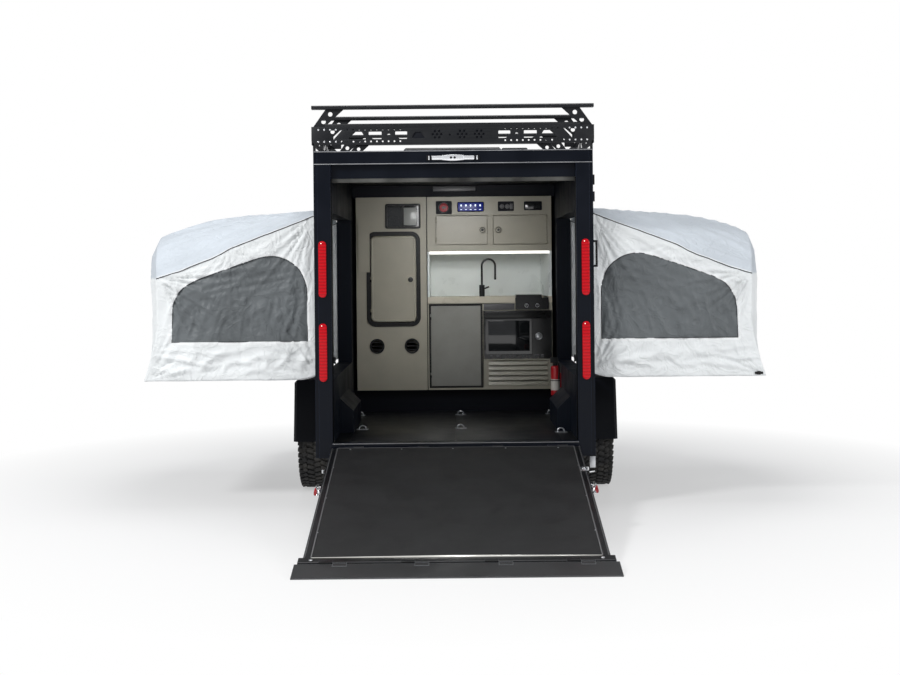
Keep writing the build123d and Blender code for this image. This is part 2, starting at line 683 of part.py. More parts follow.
def make_latch_brackets():
    """Bright latch plates on the ramp's side rails."""
    half = RAMP_HALF_WIDTH
    plate = flat(half, half + 5, LATCH_PLACE - 60, LATCH_PLACE + 60, -RAMP_THICKNESS + 6, -4)
    plate += flat(half + 5, half + 24, LATCH_PLACE - 14, LATCH_PLACE + 14, -34, -16)
    return ramp_place(both_sides(plate))


def make_latch_handles():
    """Red grips of the ramp's two latches."""
    half = RAMP_HALF_WIDTH
    grip = flat(half + 24, half + 46, LATCH_PLACE - 42, LATCH_PLACE + 26, -40, -12)
    grip = fillet(grip.edges().filter_by(Axis.Y), 8)
    return ramp_place(both_sides(grip))


def make_platform():
    """The right bed platform with the bed's halves of the hinges."""
    deck = block(BED_PIVOT_X + BED_HINGE_RADIUS + 2, PLATFORM_END_X,
                 BED_REAR_Y + BED_SIDE_GAP, BED_FRONT_Y - BED_SIDE_GAP,
                 BED_PIVOT_Z, BED_PIVOT_Z + PLATFORM_THICKNESS)
    return fuse(deck, bed_hinge_rows()[1])


def make_mattress():
    """The right bed's mattress on its platform."""
    low = BED_PIVOT_Z + PLATFORM_THICKNESS
    pad = block(BED_PIVOT_X + MATTRESS_MARGIN, PLATFORM_END_X - MATTRESS_MARGIN,
                BED_REAR_Y + MATTRESS_MARGIN, BED_FRONT_Y - MATTRESS_MARGIN,
                low, low + MATTRESS_THICKNESS)
    return fillet(pad.edges().filter_by(Axis.Z), 40)


# Tent sections seen from behind: distance out from the body's side and height
TENT_END_SECTION = ((0, 2122), (610, 1880), (1152, 1655), (1145, 1280), (1245, CANVAS_BOTTOM))
TENT_MIDDLE_SECTION = ((0, 2172), (960, 2085), (1320, 1930), (1345, 1560), (1250, CANVAS_BOTTOM))


def tent_section(section, inset, y):
    """One closed outline of the tent at y, drawn in by an inset from its outer skin."""
    points = [(BODY_HALF + HINGE_PLAY - inset, CANVAS_BOTTOM - inset)]
    for out, z in section:
        points.append((BODY_HALF + HINGE_PLAY + out - inset, z - inset))
    return Pos(0, y, 0) * (Plane.XZ * outline(points))


def tent_volume(inset):
    """The tent's volume between its end walls, drawn in by an inset."""
    ends = (BED_REAR_Y - CANVAS_CLEARANCE - CANVAS_THICKNESS - 2 + inset,
            BED_FRONT_Y + CANVAS_CLEARANCE + CANVAS_THICKNESS + 2 - inset)
    middle = (ends[0] + ends[1]) / 2
    sections = [
        tent_section(TENT_END_SECTION, inset, ends[0]),
        tent_section(TENT_MIDDLE_SECTION, inset, middle),
        tent_section(TENT_END_SECTION, inset, ends[1]),
    ]
    return loft(sections[:2], ruled=True) + loft(sections[1:], ruled=True)


def make_tent():
    """The right tent's canvas: a thin skin, open to the body and below."""
    return tent_volume(0) - tent_volume(CANVAS_THICKNESS)


def lamp_bar(width, height, depth):
    """A rounded bar that stands out from a rear face."""
    profile = extrude(Plane.XZ * SlotOverall(height, width, rotation=90), amount=depth)
    return profile


def make_tail_lamps():
    """Two rounded upright lamps on each rear post."""
    lamps = []
    for low, high in TAIL_LAMP_SPANS:
        lamp = Pos(TAIL_LAMP_X, 0, (low + high) / 2) * lamp_bar(TAIL_LAMP_WIDTH, high - low, TAIL_LAMP_DEPTH)
        lamps += [lamp, mirrored(lamp)]
    return Compound(children=lamps)


def make_header_lamp():
    """The lamp bar across the middle of the header."""
    half = HEADER_LAMP_HALF
    low = HEADER_LAMP_Z - HEADER_LAMP_HEIGHT / 2
    bar = block(-half, half, -HEADER_LAMP_DEPTH, 0, low, low + HEADER_LAMP_HEIGHT)
    bar = fillet(bar.edges().filter_by(Axis.X).sort_by(Axis.Y)[:2], 8)
    bulge = block(-28, 28, -HEADER_LAMP_DEPTH - 6, 0, low - 3, low + HEADER_LAMP_HEIGHT)
    return bar + bulge


# Tie-down rings on the floor: X and Y of each
TIE_DOWNS = ((-800, 1800), (-715, 830), (45, 1800), (40, 830), (800, 1800), (790, 560))


def make_tie_downs():
    """Flush floor plates with a ring standing in each."""
    rings = []
    for x, y in TIE_DOWNS:
        plate = Pos(x, y, FLOOR_TOP + 3) * Box(90, 60, 6)
        ring = Pos(x, y, FLOOR_TOP + 6) * Rot(90, 0, 0) * Torus(TIE_RING_RADIUS, TIE_RING_BAR)
        ring &= block(x - 90, x + 90, y - 60, y + 60, FLOOR_TOP + 3, FLOOR_TOP + 90)
        rings.append(plate + ring)
    return Compound(children=rings)


def make_body_fittings():
    """Grab handle and two hinge straps on the right side by the rear post."""
    x = BODY_HALF
    handle = rod((x + 26, GRAB_HANDLE_Y, 1705), (x + 26, GRAB_HANDLE_Y, 1895), 8)
    for z in (1712, 1888):
        handle += rod((x, GRAB_HANDLE_Y, z), (x + 26, GRAB_HANDLE_Y, z), 8)
    straps = [block(x, x + 14, GRAB_HANDLE_Y - 25, GRAB_HANDLE_Y + 25, z, z + 70) for z in (2170, 2290)]
    return Compound(children=[handle] + straps)


# Cut-outs of one rack panel, from its middle outwards: middle place, width, share of height, kind
RACK_CUTS = (
    (365, 85, 0.52, "round"),
    (452, 22, 0.18, "round"),
    (543, 89, 0.52, "round"),
    (676, 127, 0.44, "trapezium"),
    (818, 88, 0.68, "triangle"),
)


def rack_cut(centre, width, share, kind, side):
    """One cut-out in a rack panel lying in the XZ plane at Y = 0."""
    height = (RACK_PLATE_TOP - RACK_PLATE_BOTTOM) * share
    z = (RACK_PLATE_TOP + RACK_PLATE_BOTTOM) / 2
    half = width / 2
    if kind == "round":
        face = fillet(Rectangle(width, height).vertices(), min(width, height) * 0.3)
    elif kind == "trapezium":
        face = outline([(-half, height / 2), (half, height / 2), (half - 34, -height / 2),
                        (-half + 34, -height / 2)])
    else:
        face = outline([(-half, height / 2), (half, height / 2), (half, -height / 2)])
    cut = extrude(Plane.XZ * face, amount=RACK_SHEET, both=True)
    cut = Pos(centre, 0, z) * cut
    return cut if side > 0 else mirrored(cut)


def rack_end_panel():
    """The rear panel of the rack with chamfered lower corners and a tube along its top."""
    corner = 26
    half = RACK_HALF_WIDTH
    low, high = RACK_PLATE_BOTTOM, RACK_PLATE_TOP
    panel = prism_y([(-half, high), (half, high), (half, low + corner), (half - corner, low),
                     (corner - half, low), (-half, low + corner)], 0, RACK_SHEET)
    for cut in RACK_CUTS:
        panel -= rack_cut(*cut, 1) + rack_cut(*cut, -1)
    tube = block(-RACK_TUBE_HALF, RACK_TUBE_HALF, 0, RACK_TUBE, high, high + RACK_TUBE)
    return panel + fillet(tube.edges().filter_by(Axis.X), RACK_TUBE / 4)


def rack_side_panel():
    """The right side panel, with the same cut-outs in a row between the load bars."""
    pitch = load_bar_pitch()
    panel = block(RACK_HALF_WIDTH - RACK_SHEET, RACK_HALF_WIDTH, RACK_SHEET, RACK_LENGTH - RACK_SHEET,
                  RACK_PLATE_BOTTOM, RACK_PLATE_TOP)
    for bay in range(LOAD_BAR_COUNT - 1):
        middle = RACK_SHEET + (bay + 0.5) * pitch
        for centre, width, share, kind in RACK_SIDE_CUTS:
            for side in (1, -1):
                cut = rack_cut(centre, width, share, kind, side)
                panel -= Pos(RACK_HALF_WIDTH, middle, 0) * Rot(0, 0, 90) * cut
    return panel


# Cut-outs of one bay of a side panel, from the bay's middle outwards
RACK_SIDE_CUTS = (
    (70, 89, 0.52, "round"),
    (190, 127, 0.44, "trapezium"),
    (294, 60, 0.62, "triangle"),
)


def load_bar_pitch():
    """The distance between two load bars."""
    return (RACK_LENGTH - LOAD_BAR_DEPTH) / (LOAD_BAR_COUNT - 1)


def make_rack_panels():
    """The perforated fence round the roof, on short feet."""
    rear = rack_end_panel()
    front = Pos(0, RACK_LENGTH, 0) * mirror(rack_end_panel(), about=Plane.XZ)
    fence = rear + front + both_sides(rack_side_panel())
    foot_x = BODY_HALF - 40
    for y in (40, RACK_LENGTH / 2, RACK_LENGTH - 40 - RACK_FOOT_LENGTH):
        foot = block(foot_x, RACK_HALF_WIDTH - RACK_SHEET, y, y + RACK_FOOT_LENGTH,
                     BODY_TOP, BODY_TOP + 6)
        foot += block(RACK_HALF_WIDTH - RACK_SHEET - 6, RACK_HALF_WIDTH - RACK_SHEET, y,
                      y + RACK_FOOT_LENGTH, BODY_TOP, RACK_PLATE_BOTTOM + 40)
        fence += both_sides(foot)
    return fence


def strut():
    """The right strut of a load bar: a leaning plate with two holes."""
    low = RACK_PLATE_TOP
    high = LOAD_BAR_TOP - LOAD_BAR_HEIGHT
    lean = 40
    half = STRUT_SHEET
    points = [
        (STRUT_FOOT_X - lean, low), (STRUT_FOOT_X + lean, low),
        (STRUT_HEAD_X + lean, high), (STRUT_HEAD_X - lean - 50, high),
    ]
    plate = prism_y(points, 20, 20 + half)
    for share in (0.3, 0.72):
        x = STRUT_FOOT_X + (STRUT_HEAD_X - 25 - STRUT_FOOT_X) * share
        z = low + (high - low) * share
        plate -= rod((x, 0, z), (x, 60, z), STRUT_HOLE_RADIUS)
    foot = block(STRUT_FOOT_X - lean, RACK_HALF_WIDTH - RACK_SHEET, 6, 40, low - 30, low)
    return plate + foot


def load_bar():
    """One raised load bar on its two leaning struts."""
    half = STRUT_HEAD_X + 140
    low = LOAD_BAR_TOP - LOAD_BAR_HEIGHT
    bar = block(-half, half, 0, LOAD_BAR_DEPTH, low, LOAD_BAR_TOP)
    bar = chamfer(bar.edges().filter_by(Axis.X).group_by(Axis.Z)[-1], 8)
    return bar + both_sides(strut())


def make_load_bars():
    """The load bars, one behind another along the rack."""
    bar = load_bar()
    places = [index * load_bar_pitch() for index in range(LOAD_BAR_COUNT)]
    return Compound(children=[Pos(0, y, 0) * bar for y in places])


def make_roof_vent():
    """A low equipment box and a vent with a domed lid on the roof."""
    box = block(-357, 350, 260, 820, BODY_TOP, BODY_TOP + 42)
    box = chamfer(box.faces().sort_by(Axis.Z)[-1].edges(), 14)
    lid = block(355, 545, 300, 700, BODY_TOP, BODY_TOP + 40)
    lid = fillet(lid.faces().sort_by(Axis.Z)[-1].edges(), 14)
    return Compound(children=[box, lid])


def carcass(x0, x1, y0, y1, z0, z1, wall):
    """A closed cupboard box with walls of one thickness and a hollow inside."""
    outer = block(x0, x1, y0, y1, z0, z1)
    return outer - block(x0 + wall, x1 - wall, y0 + wall, y1 - wall, z0 + wall, z1 - wall)


def front_cut(x0, x1, z0, z1, corner, depth):
    """A cut through a galley front with rounded corners."""
    face = Pos((x0 + x1) / 2, (z0 + z1) / 2) * fillet(Rectangle(x1 - x0, z1 - z0).vertices(), corner)
    return Pos(0, GALLEY_FRONT_Y + depth, 0) * extrude(Plane.XZ * face, amount=2 * depth)


def front_plate(x0, x1, z0, z1, corner, front, back):
    """A plate with rounded corners between two distances from the galley's face."""
    face = Pos((x0 + x1) / 2, (z0 + z1) / 2) * fillet(Rectangle(x1 - x0, z1 - z0).vertices(), corner)
    return Pos(0, GALLEY_FRONT_Y + back, 0) * extrude(Plane.XZ * face, amount=back - front)


# Bath cupboard door, window and vents, as left, right, low and high
BATH_DOOR = (-713, -327, 1244, 1982)
BATH_DOOR_FRAME = 38
BATH_DOOR_CORNER = 45
BATH_WINDOW = (-572, -300, 2061, 2243)
BATH_WINDOW_FRAME = 16
BATH_VENTS = (-667, -367)
BATH_VENT_Z = 1037
BATH_VENT_RADIUS = 64
TRIM_DEPTH = 12


def make_wardrobe():
    """The bath cupboard: a hollow box cut for its door, window and vents."""
    box = carcass(-GALLEY_HALF, WARDROBE_RIGHT_X, GALLEY_FRONT_Y, GALLEY_BACK_Y,
                  GALLEY_BOTTOM, GALLEY_TOP, PANEL)
    x0, x1, z0, z1 = BATH_DOOR
    box -= front_cut(x0 - DOOR_GAP, x1 + DOOR_GAP, z0 - DOOR_GAP, z1 + DOOR_GAP, BATH_DOOR_CORNER, PANEL)
    box -= front_cut(*BATH_WINDOW, 12, PANEL)
    for x in BATH_VENTS:
        box -= rod((x, GALLEY_FRONT_Y, BATH_VENT_Z), (x, GALLEY_FRONT_Y + PANEL, BATH_VENT_Z),
                   BATH_VENT_RADIUS - 14)
    return box + side_panel()


def make_wardrobe_trim():
    """Black door surround, window surround and vent rings on the bath cupboard."""
    x0, x1, z0, z1 = BATH_DOOR
    w = BATH_DOOR_FRAME
    frame = front_plate(x0 - w, x1 + w, z0 - w, z1 + w, BATH_DOOR_CORNER + w - 6, -TRIM_DEPTH, 0)
    frame -= front_plate(x0 - DOOR_GAP, x1 + DOOR_GAP, z0 - DOOR_GAP, z1 + DOOR_GAP, BATH_DOOR_CORNER,
                         -2 * TRIM_DEPTH, TRIM_DEPTH)
    frame = fuse(frame, bath_hinges()[0])
    x0, x1, z0, z1 = BATH_WINDOW
    w = BATH_WINDOW_FRAME
    window = front_plate(x0 - w, x1 + w, z0 - w, z1 + w, 16, -TRIM_DEPTH, 0)
    window -= front_plate(x0, x1, z0, z1, 12, -2 * TRIM_DEPTH, TRIM_DEPTH)
    middle = (x0 + x1) / 2
    window += block(middle - 8, middle + 8, GALLEY_FRONT_Y - TRIM_DEPTH, GALLEY_FRONT_Y, z0 - 1, z1 + 1)
    trims = [frame, window]
    for x in BATH_VENTS:
        y = GALLEY_FRONT_Y
        ring = rod((x, y - 8, BATH_VENT_Z), (x, y, BATH_VENT_Z), BATH_VENT_RADIUS)
        ring -= rod((x, y - 8, BATH_VENT_Z), (x, y, BATH_VENT_Z), BATH_VENT_RADIUS - 14)
        for shift in (-32, 0, 32):
            ring += block(x - BATH_VENT_RADIUS + 10, x + BATH_VENT_RADIUS - 10, y - 6, y,
                          BATH_VENT_Z + shift - 5, BATH_VENT_Z + shift + 5)
        trims.append(ring)
    return Compound(children=trims)


def bath_hinges():
    """Hinges of the bath cupboard's door, on its left edge."""
    x = BATH_DOOR[0] - DOOR_GAP / 2
    return hinges(x, GALLEY_FRONT_Y - TRIM_DEPTH, (1330, 1610), 22)


def make_wardrobe_door():
    """The bath cupboard's door with its square latch."""
    x0, x1, z0, z1 = BATH_DOOR
    leaf = front_plate(x0, x1, z0, z1, BATH_DOOR_CORNER, -TRIM_DEPTH, PANEL - 4)
    leaf = fuse(leaf, bath_hinges()[1])
    latch = front_plate(x1 - 84, x1 - 10, 1571, 1641, 8, -TRIM_DEPTH - 10, -TRIM_DEPTH)
    return leaf + latch


def make_wardrobe_window():
    """The two panes of the bath cupboard's sliding window."""
    x0, x1, z0, z1 = BATH_WINDOW
    middle = (x0 + x1) / 2
    left = front_plate(x0 + 1, middle + 6, z0 + 1, z1 - 1, 10, 1, 6)
    right = front_plate(middle + 7, x1 - 1, z0 + 1, z1 - 1, 10, 1, 6)
    return Compound(children=[left, right])


def side_panel():
    """The small raised panel with a slanting top at the left of the bath door."""
    x0 = -GALLEY_HALF + 20
    x1 = BATH_DOOR[0] - DOOR_GAP - HINGE_RADIUS
    front = GALLEY_FRONT_Y - TRIM_DEPTH
    profile = [(x0, 1673), (x1, 1673), (x1, 2078), (x0, 2130)]
    return prism_y(profile, front - 10, front) + block(x0, BATH_DOOR[0] - BATH_DOOR_FRAME - 1, front,
                                                       GALLEY_FRONT_Y, 1673, 2100)


# Overhead cupboard doors: left, right, low and high, then which edge is hinged
CUPBOARD_DOORS = {
    "left": (-150, 286, 1905, 2150, "left"),
    "right": (343, 800, 1905, 2150, "right"),
}
KNOB_RADIUS = 27
KNOB_DEPTH = 24


def cupboard_hinges(name):
    """Hinges of one overhead door, on its outer edge."""
    x0, x1, z0, z1, edge = CUPBOARD_DOORS[name]
    heights = (z0 + 40, z1 - 40)
    if edge == "left":
        return hinges(x0 - DOOR_GAP / 2, GALLEY_FRONT_Y, heights, 18)
    return hinges(x1 + DOOR_GAP / 2, GALLEY_FRONT_Y, heights, -18)


def make_overhead():
    """The overhead cupboard, cut for its two doors."""
    box = carcass(KITCHEN_LEFT_X, GALLEY_HALF, GALLEY_FRONT_Y, GALLEY_FRONT_Y + RECESS_DEPTH,
                  OVERHEAD_BOTTOM, GALLEY_TOP, PANEL)
    for name, (x0, x1, z0, z1, edge) in CUPBOARD_DOORS.items():
        box -= front_cut(x0 - DOOR_GAP, x1 + DOOR_GAP, z0 - DOOR_GAP, z1 + DOOR_GAP, 8, PANEL)
        box = fuse(box, cupboard_hinges(name)[0])
    return box


def make_cupboard_door(name):
    """One overhead door with its round knob."""
    x0, x1, z0, z1, edge = CUPBOARD_DOORS[name]
    leaf = front_plate(x0, x1, z0, z1, 6, 0, PANEL)
    knob_x = x1 - 40 if edge == "left" else x0 + 40
    knob_z = (z0 + z1) / 2
    face = GALLEY_FRONT_Y
    knob = rod((knob_x, face, knob_z), (knob_x, face - KNOB_DEPTH, knob_z), KNOB_RADIUS)
    knob = chamfer(knob.faces().sort_by(Axis.Y)[0].edges(), 5)
    return fuse(leaf + knob, cupboard_hinges(name)[1])


def make_recess():
    """The open recess between counter and overhead cupboard, with a slanting right side."""
    back = GALLEY_FRONT_Y + RECESS_DEPTH
    z0, z1 = RECESS_BOTTOM, OVERHEAD_BOTTOM
    left = block(KITCHEN_LEFT_X, KITCHEN_LEFT_X + PANEL, GALLEY_FRONT_Y, back, z0, z1)
    rear = block(KITCHEN_LEFT_X, GALLEY_HALF, back - PANEL, back, z0, z1)
    right = prism_z([
        (GALLEY_HALF, GALLEY_FRONT_Y), (GALLEY_HALF, back),
        (GALLEY_HALF - RECESS_SIDE, back), (GALLEY_HALF - PANEL, GALLEY_FRONT_Y),
    ], z0, z1)
    return left + rear + right


def make_counter():
    """The counter top, with a notch for the cooktop."""
    back = GALLEY_FRONT_Y + RECESS_DEPTH
    top = block(KITCHEN_LEFT_X, GALLEY_HALF, GALLEY_FRONT_Y - COUNTER_LIP, back,
                COUNTER_BOTTOM, RECESS_BOTTOM)
    x0, x1, low, high = COOKTOP
    notch = block(x0 - 1, x1 + 1, GALLEY_FRONT_Y - COUNTER_LIP, GALLEY_FRONT_Y + COOKTOP_DEPTH + 1,
                  COUNTER_BOTTOM, RECESS_BOTTOM)
    return top - notch


# Appliances in the galley's face, as left, right, low and high
COOKTOP = (523, 808, 1342, 1441)
COOKTOP_DEPTH = 280
FRIDGE = (-219, 241, 672, 1393)
FRIDGE_RIM = 17
FRIDGE_DOOR_THICKNESS = 34
MICROWAVE = (251, 838, 916, 1333)
MICROWAVE_RIM = 14
MICROWAVE_DOOR_SHARE = 0.7
LOUVRE = (251, 838, 680, 912)
LOUVRE_FRAME = 40
LOUVRE_COUNT = 5


def make_cooktop():
    """The cooktop with its front control panel, knobs and a raised lid."""
    x0, x1, low, high = COOKTOP
    front = GALLEY_FRONT_Y - COUNTER_LIP - 8
    body = block(x0, x1, front, GALLEY_FRONT_Y + COOKTOP_DEPTH, COUNTER_BOTTOM, high)
    panel = block(x0, x1, front, GALLEY_FRONT_Y, low, high)
    hob = body + panel
    for x in (619, 711):
        hob += rod((x, front, 1376), (x, front - 20, 1376), 19)
    lid = block(x0 + 6, x1 - 56, front + 10, GALLEY_FRONT_Y + RECESS_DEPTH / 2, high, RECESS_BOTTOM + 14)
    return hob + lid


def make_base_cabinet():
    """The carcass round the appliances: sides, shelf, back and face strips."""
    top = COUNTER_BOTTOM
    back = GALLEY_BACK_Y
    left, right = KITCHEN_LEFT_X, GALLEY_HALF
    box = block(left, right, GALLEY_FRONT_Y, back, GALLEY_BOTTOM, top)
    box -= block(FRIDGE[0], FRIDGE[1], GALLEY_FRONT_Y, GALLEY_FRONT_Y + APPLIANCE_DEPTH,
                 FRIDGE[2], FRIDGE[3])
    box -= block(MICROWAVE[0], MICROWAVE[1], GALLEY_FRONT_Y, GALLEY_FRONT_Y + APPLIANCE_DEPTH,
                 MICROWAVE[2], MICROWAVE[3])
    box -= block(LOUVRE[0], LOUVRE[1], GALLEY_FRONT_Y, GALLEY_FRONT_Y + APPLIANCE_DEPTH,
                 LOUVRE[2], LOUVRE[3])
    box -= block(left + PANEL, right - PANEL, GALLEY_FRONT_Y + APPLIANCE_DEPTH + PANEL,
                 back - PANEL, GALLEY_BOTTOM + PANEL, top - PANEL)
    x0, x1, low, high = COOKTOP
    box -= block(x0 - 1, x1 + 1, GALLEY_FRONT_Y, GALLEY_FRONT_Y + 2, low - 1, top)
    return box


def appliance_hinges(x, heights, reach):
    """Hinges of an appliance door on the galley's face."""
    return hinges(x, GALLEY_FRONT_Y, heights, reach)


def fridge_hinges():
    """Hinges of the fridge door, on its left edge."""
    return appliance_hinges(FRIDGE[0] + FRIDGE_RIM - DOOR_GAP / 2, (FRIDGE[2] + 110, FRIDGE[3] - 110), 13)


def make_fridge():
    """The fridge's body: an open box in the cabinet with a narrow rim."""
    x0, x1, z0, z1 = FRIDGE
    rim = FRIDGE_RIM - DOOR_GAP
    back = GALLEY_FRONT_Y + APPLIANCE_DEPTH
    box = block(x0, x1, GALLEY_FRONT_Y, back, z0, z1)
    box -= block(x0 + rim, x1 - rim, GALLEY_FRONT_Y, GALLEY_FRONT_Y + FRIDGE_DOOR_THICKNESS + DOOR_GAP,
                 z0 + rim, z1 - rim)
    box -= block(x0 + 40, x1 - 40, GALLEY_FRONT_Y, back - 40, z0 + 40, z1 - 40)
    return fuse(box, fridge_hinges()[0])


def make_fridge_door():
    """The fridge's door, flush in its rim."""
    x0, x1, z0, z1 = FRIDGE
    rim = FRIDGE_RIM
    leaf = front_plate(x0 + rim, x1 - rim, z0 + rim, z1 - rim, 6, 0, FRIDGE_DOOR_THICKNESS)
    return fuse(leaf, fridge_hinges()[1])


def microwave_door_right():
    """The right edge of the microwave's door."""
    x0, x1 = MICROWAVE[0], MICROWAVE[1]
    return x0 + (x1 - x0) * MICROWAVE_DOOR_SHARE


def microwave_hinges():
    """Hinges of the microwave's door, on its left edge."""
    x = MICROWAVE[0] + MICROWAVE_RIM - DOOR_GAP / 2
    return appliance_hinges(x, (MICROWAVE[2] + 110, MICROWAVE[3] - 100), 11)


def make_microwave():
    """The microwave's body with its control side, dial and row of keys."""
    x0, x1, z0, z1 = MICROWAVE
    rim = MICROWAVE_RIM - DOOR_GAP
    back = GALLEY_FRONT_Y + APPLIANCE_DEPTH
    door_right = microwave_door_right()
    box = block(x0, x1, GALLEY_FRONT_Y, back, z0, z1)
    box -= block(x0 + rim, door_right + DOOR_GAP, GALLEY_FRONT_Y, GALLEY_FRONT_Y + PANEL + DOOR_GAP,
                 z0 + rim + 26, z1 - rim)
    box -= block(x0 + 40, door_right - 30, GALLEY_FRONT_Y, back - 40, z0 + 70, z1 - 50)
    dial = rod((722, GALLEY_FRONT_Y, 1111), (722, GALLEY_FRONT_Y - 16, 1111), 31)
    box += dial
    return fuse(box, microwave_hinges()[0])


def make_microwave_door():
    """The microwave's door, flush in its body."""
    x0, x1, z0, z1 = MICROWAVE
    leaf = front_plate(x0 + MICROWAVE_RIM, microwave_door_right(), z0 + MICROWAVE_RIM + 26,
                       z1 - MICROWAVE_RIM, 6, 0, PANEL)
    return fuse(leaf, microwave_hinges()[1])


def make_louvre():
    """The louvred panel: a frame with slanting slats across it."""
    x0, x1, z0, z1 = LOUVRE
    depth = PANEL
    frame = block(x0, x1, GALLEY_FRONT_Y, GALLEY_FRONT_Y + depth, z0, z1)
    edge = 8
    frame -= block(x0 + LOUVRE_FRAME, x1 - LOUVRE_FRAME, GALLEY_FRONT_Y, GALLEY_FRONT_Y + depth,
                   z0 + edge, z1 - edge)
    pitch = (z1 - z0 - 2 * edge) / LOUVRE_COUNT
    for index in range(LOUVRE_COUNT):
        low = z0 + edge + index * pitch
        y = GALLEY_FRONT_Y
        slat = prism_x([
            (y, low), (y + 4, low), (y + depth, low + pitch - 12), (y + depth, low + pitch - 6),
            (y + depth - 4, low + pitch - 6), (y, low + 8),
        ], x0 + LOUVRE_FRAME, x1 - LOUVRE_FRAME)
        frame += slat
    return frame


# Small panels above the overhead doors: left, right, low, high and how far each stands out
PANELS = (
    (-151, -14, 2167, 2278, 14),
    (33, 262, 2184, 2270, 6),
    (382, 520, 2188, 2272, 5),
    (606, 760, 2193, 2270, 8),
)


def make_instruments():
    """The gauge, switch panel, socket panel and display over the cupboard doors."""
    plates = []
    for x0, x1, z0, z1, depth in PANELS:
        plates.append(front_plate(x0, x1, z0, z1, 8, -depth, 0))
    return Compound(children=plates)


def make_faucet():
    """The gooseneck faucet on the counter."""
    x, y = 240, GALLEY_FRONT_Y + 70
    z = RECESS_BOTTOM
    reach = 115
    top = z + 265
    body = rod((x, y, z), (x, y, z + 100), 24)
    lever = rod((x, y, z + 60), (x + 62, y, z + 84), 7)
    path = Polyline((0, 90), (0, top - z), close=False) + ThreePointArc(
        (0, top - z), (reach / 2, top - z + reach / 2), (reach, top - z)) + Line(
        (reach, top - z), (reach, top - z - 120))
    placed = Pos(x, y, z) * (Plane.XZ * path)
    spout = sweep(Plane(origin=(x, y, z + 90)) * Circle(9), path=placed)
    return body + lever + spout


def make_plinth():
    """The dark toe-kick under the galley, set back from its face."""
    return block(-INNER_HALF, INNER_HALF, GALLEY_FRONT_Y + PLINTH_SETBACK, GALLEY_BACK_Y,
                 FLOOR_TOP, GALLEY_BOTTOM)


def make_bulkhead():
    """The dark filler between the cupboards and the ceiling, with its lamp."""
    front = GALLEY_FRONT_Y + BULKHEAD_SETBACK
    fill = block(-INNER_HALF, INNER_HALF, front, front + RECESS_DEPTH - BULKHEAD_SETBACK,
                 GALLEY_TOP, ROOF_BOTTOM)
    lamp = block(-185, 200, front - 30, front, GALLEY_TOP + 45, GALLEY_TOP + 95)
    return fill + lamp


def make_extinguisher():
    """The fire extinguisher strapped to the right wall."""
    x, y, z = INNER_HALF - 46, WELL_FRONT_Y + 60, 655
    radius = 38
    body = rod((x, y, z), (x, y, z + 240), radius)
    body = fillet(body.faces().sort_by(Axis.Z)[-1].edges(), 20)
    neck = rod((x, y, z + 238), (x, y, z + 268), 13)
    head = block(x - 34, x + 16, y - 10, y + 10, z + 262, z + 305)
    bracket = block(x, INNER_HALF, y - 14, y + 14, z + 60, z + 180)
    return body + neck + head + bracket


def add(name, shape):
    """Keep a finished piece under its node name."""
    pieces[name] = shape


def build():
    """Make every piece of the trailer."""
    add("floor_deck", make_floor())
    add("front_wall", make_front_wall())
    add("roof_panel", make_roof())
    add("rear_frame", make_rear_frame())
    add("wheel_wells", make_wheel_wells())
    add("chassis_frame", make_chassis())
    add("axle_beam", make_axle())
    add("coupler", make_coupler())
    add("jack_tube", make_jack_tube())
    add("jack_leg", make_jack_leg())
    add("gas_bottles", make_bottles())
    add("ramp_frame", make_ramp_frame())
    add("ramp_deck", make_ramp_deck())
    add("ramp_flap", make_flap())
    add("ramp_latch_brackets", make_latch_brackets())
    add("ramp_latch_handles", make_latch_handles())
    right_pieces = {
        "side_wall": make_side_wall(),
        "fender": make_fender(),
        "wheel": make_wheel(),
        "tyre": make_tyre(),
        "bed_platform": make_platform(),
        "mattress": make_mattress(),
        "tent": make_tent(),
    }
    for name, shape in right_pieces.items():
        for side_name, side in SIDES:
            add(f"{name}_{side_name}", on_side(shape, side))
    add("tail_lamps", make_tail_lamps())
    add("header_lamp", make_header_lamp())
    add("floor_tie_downs", make_tie_downs())
    add("body_fittings", make_body_fittings())
    add("rack_panels", make_rack_panels())
    add("load_bars", make_load_bars())
    add("roof_vent", make_roof_vent())
    add("wardrobe", make_wardrobe())
    add("wardrobe_trim", make_wardrobe_trim())
    add("wardrobe_door", make_wardrobe_door())
    add("wardrobe_window", make_wardrobe_window())
    add("overhead_cupboard", make_overhead())
    add("cupboard_door_left", make_cupboard_door("left"))
    add("cupboard_door_right", make_cupboard_door("right"))
    add("galley_recess", make_recess())
    add("counter_top", make_counter())
    add("cooktop", make_cooktop())
    add("base_cabinet", make_base_cabinet())
    add("fridge", make_fridge())
    add("fridge_door", make_fridge_door())
    add("microwave", make_microwave())
    add("microwave_door", make_microwave_door())
    add("louvre_panel", make_louvre())
    add("instrument_panels", make_instruments())
    add("faucet", make_faucet())
    add("galley_fillers", Compound(children=[make_plinth(), make_bulkhead()]))
    add("extinguisher", make_extinguisher())


build()
os.makedirs("parts", exist_ok=True)
for name, shape in pieces.items():
    export_step(Pos(0, -MIDDLE_Y, 0) * shape, f"parts/{name}.step")
print(len(pieces), "pieces, slope", round(RAMP_SLOPE, 3), "middle", round(MIDDLE_Y, 2))
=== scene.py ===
"""Looks of an off-road camping trailer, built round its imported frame.

Everything is in metres in the frame's own axes: X across, +Y forward to the coupler, Z up.
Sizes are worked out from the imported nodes' boxes and from the few values below.
"""

import logging
import math
from dataclasses import dataclass, field
from enum import Enum
from typing import Callable, Iterable, Sequence

import bmesh
import bpy
from mathutils import Matrix, Vector, noise


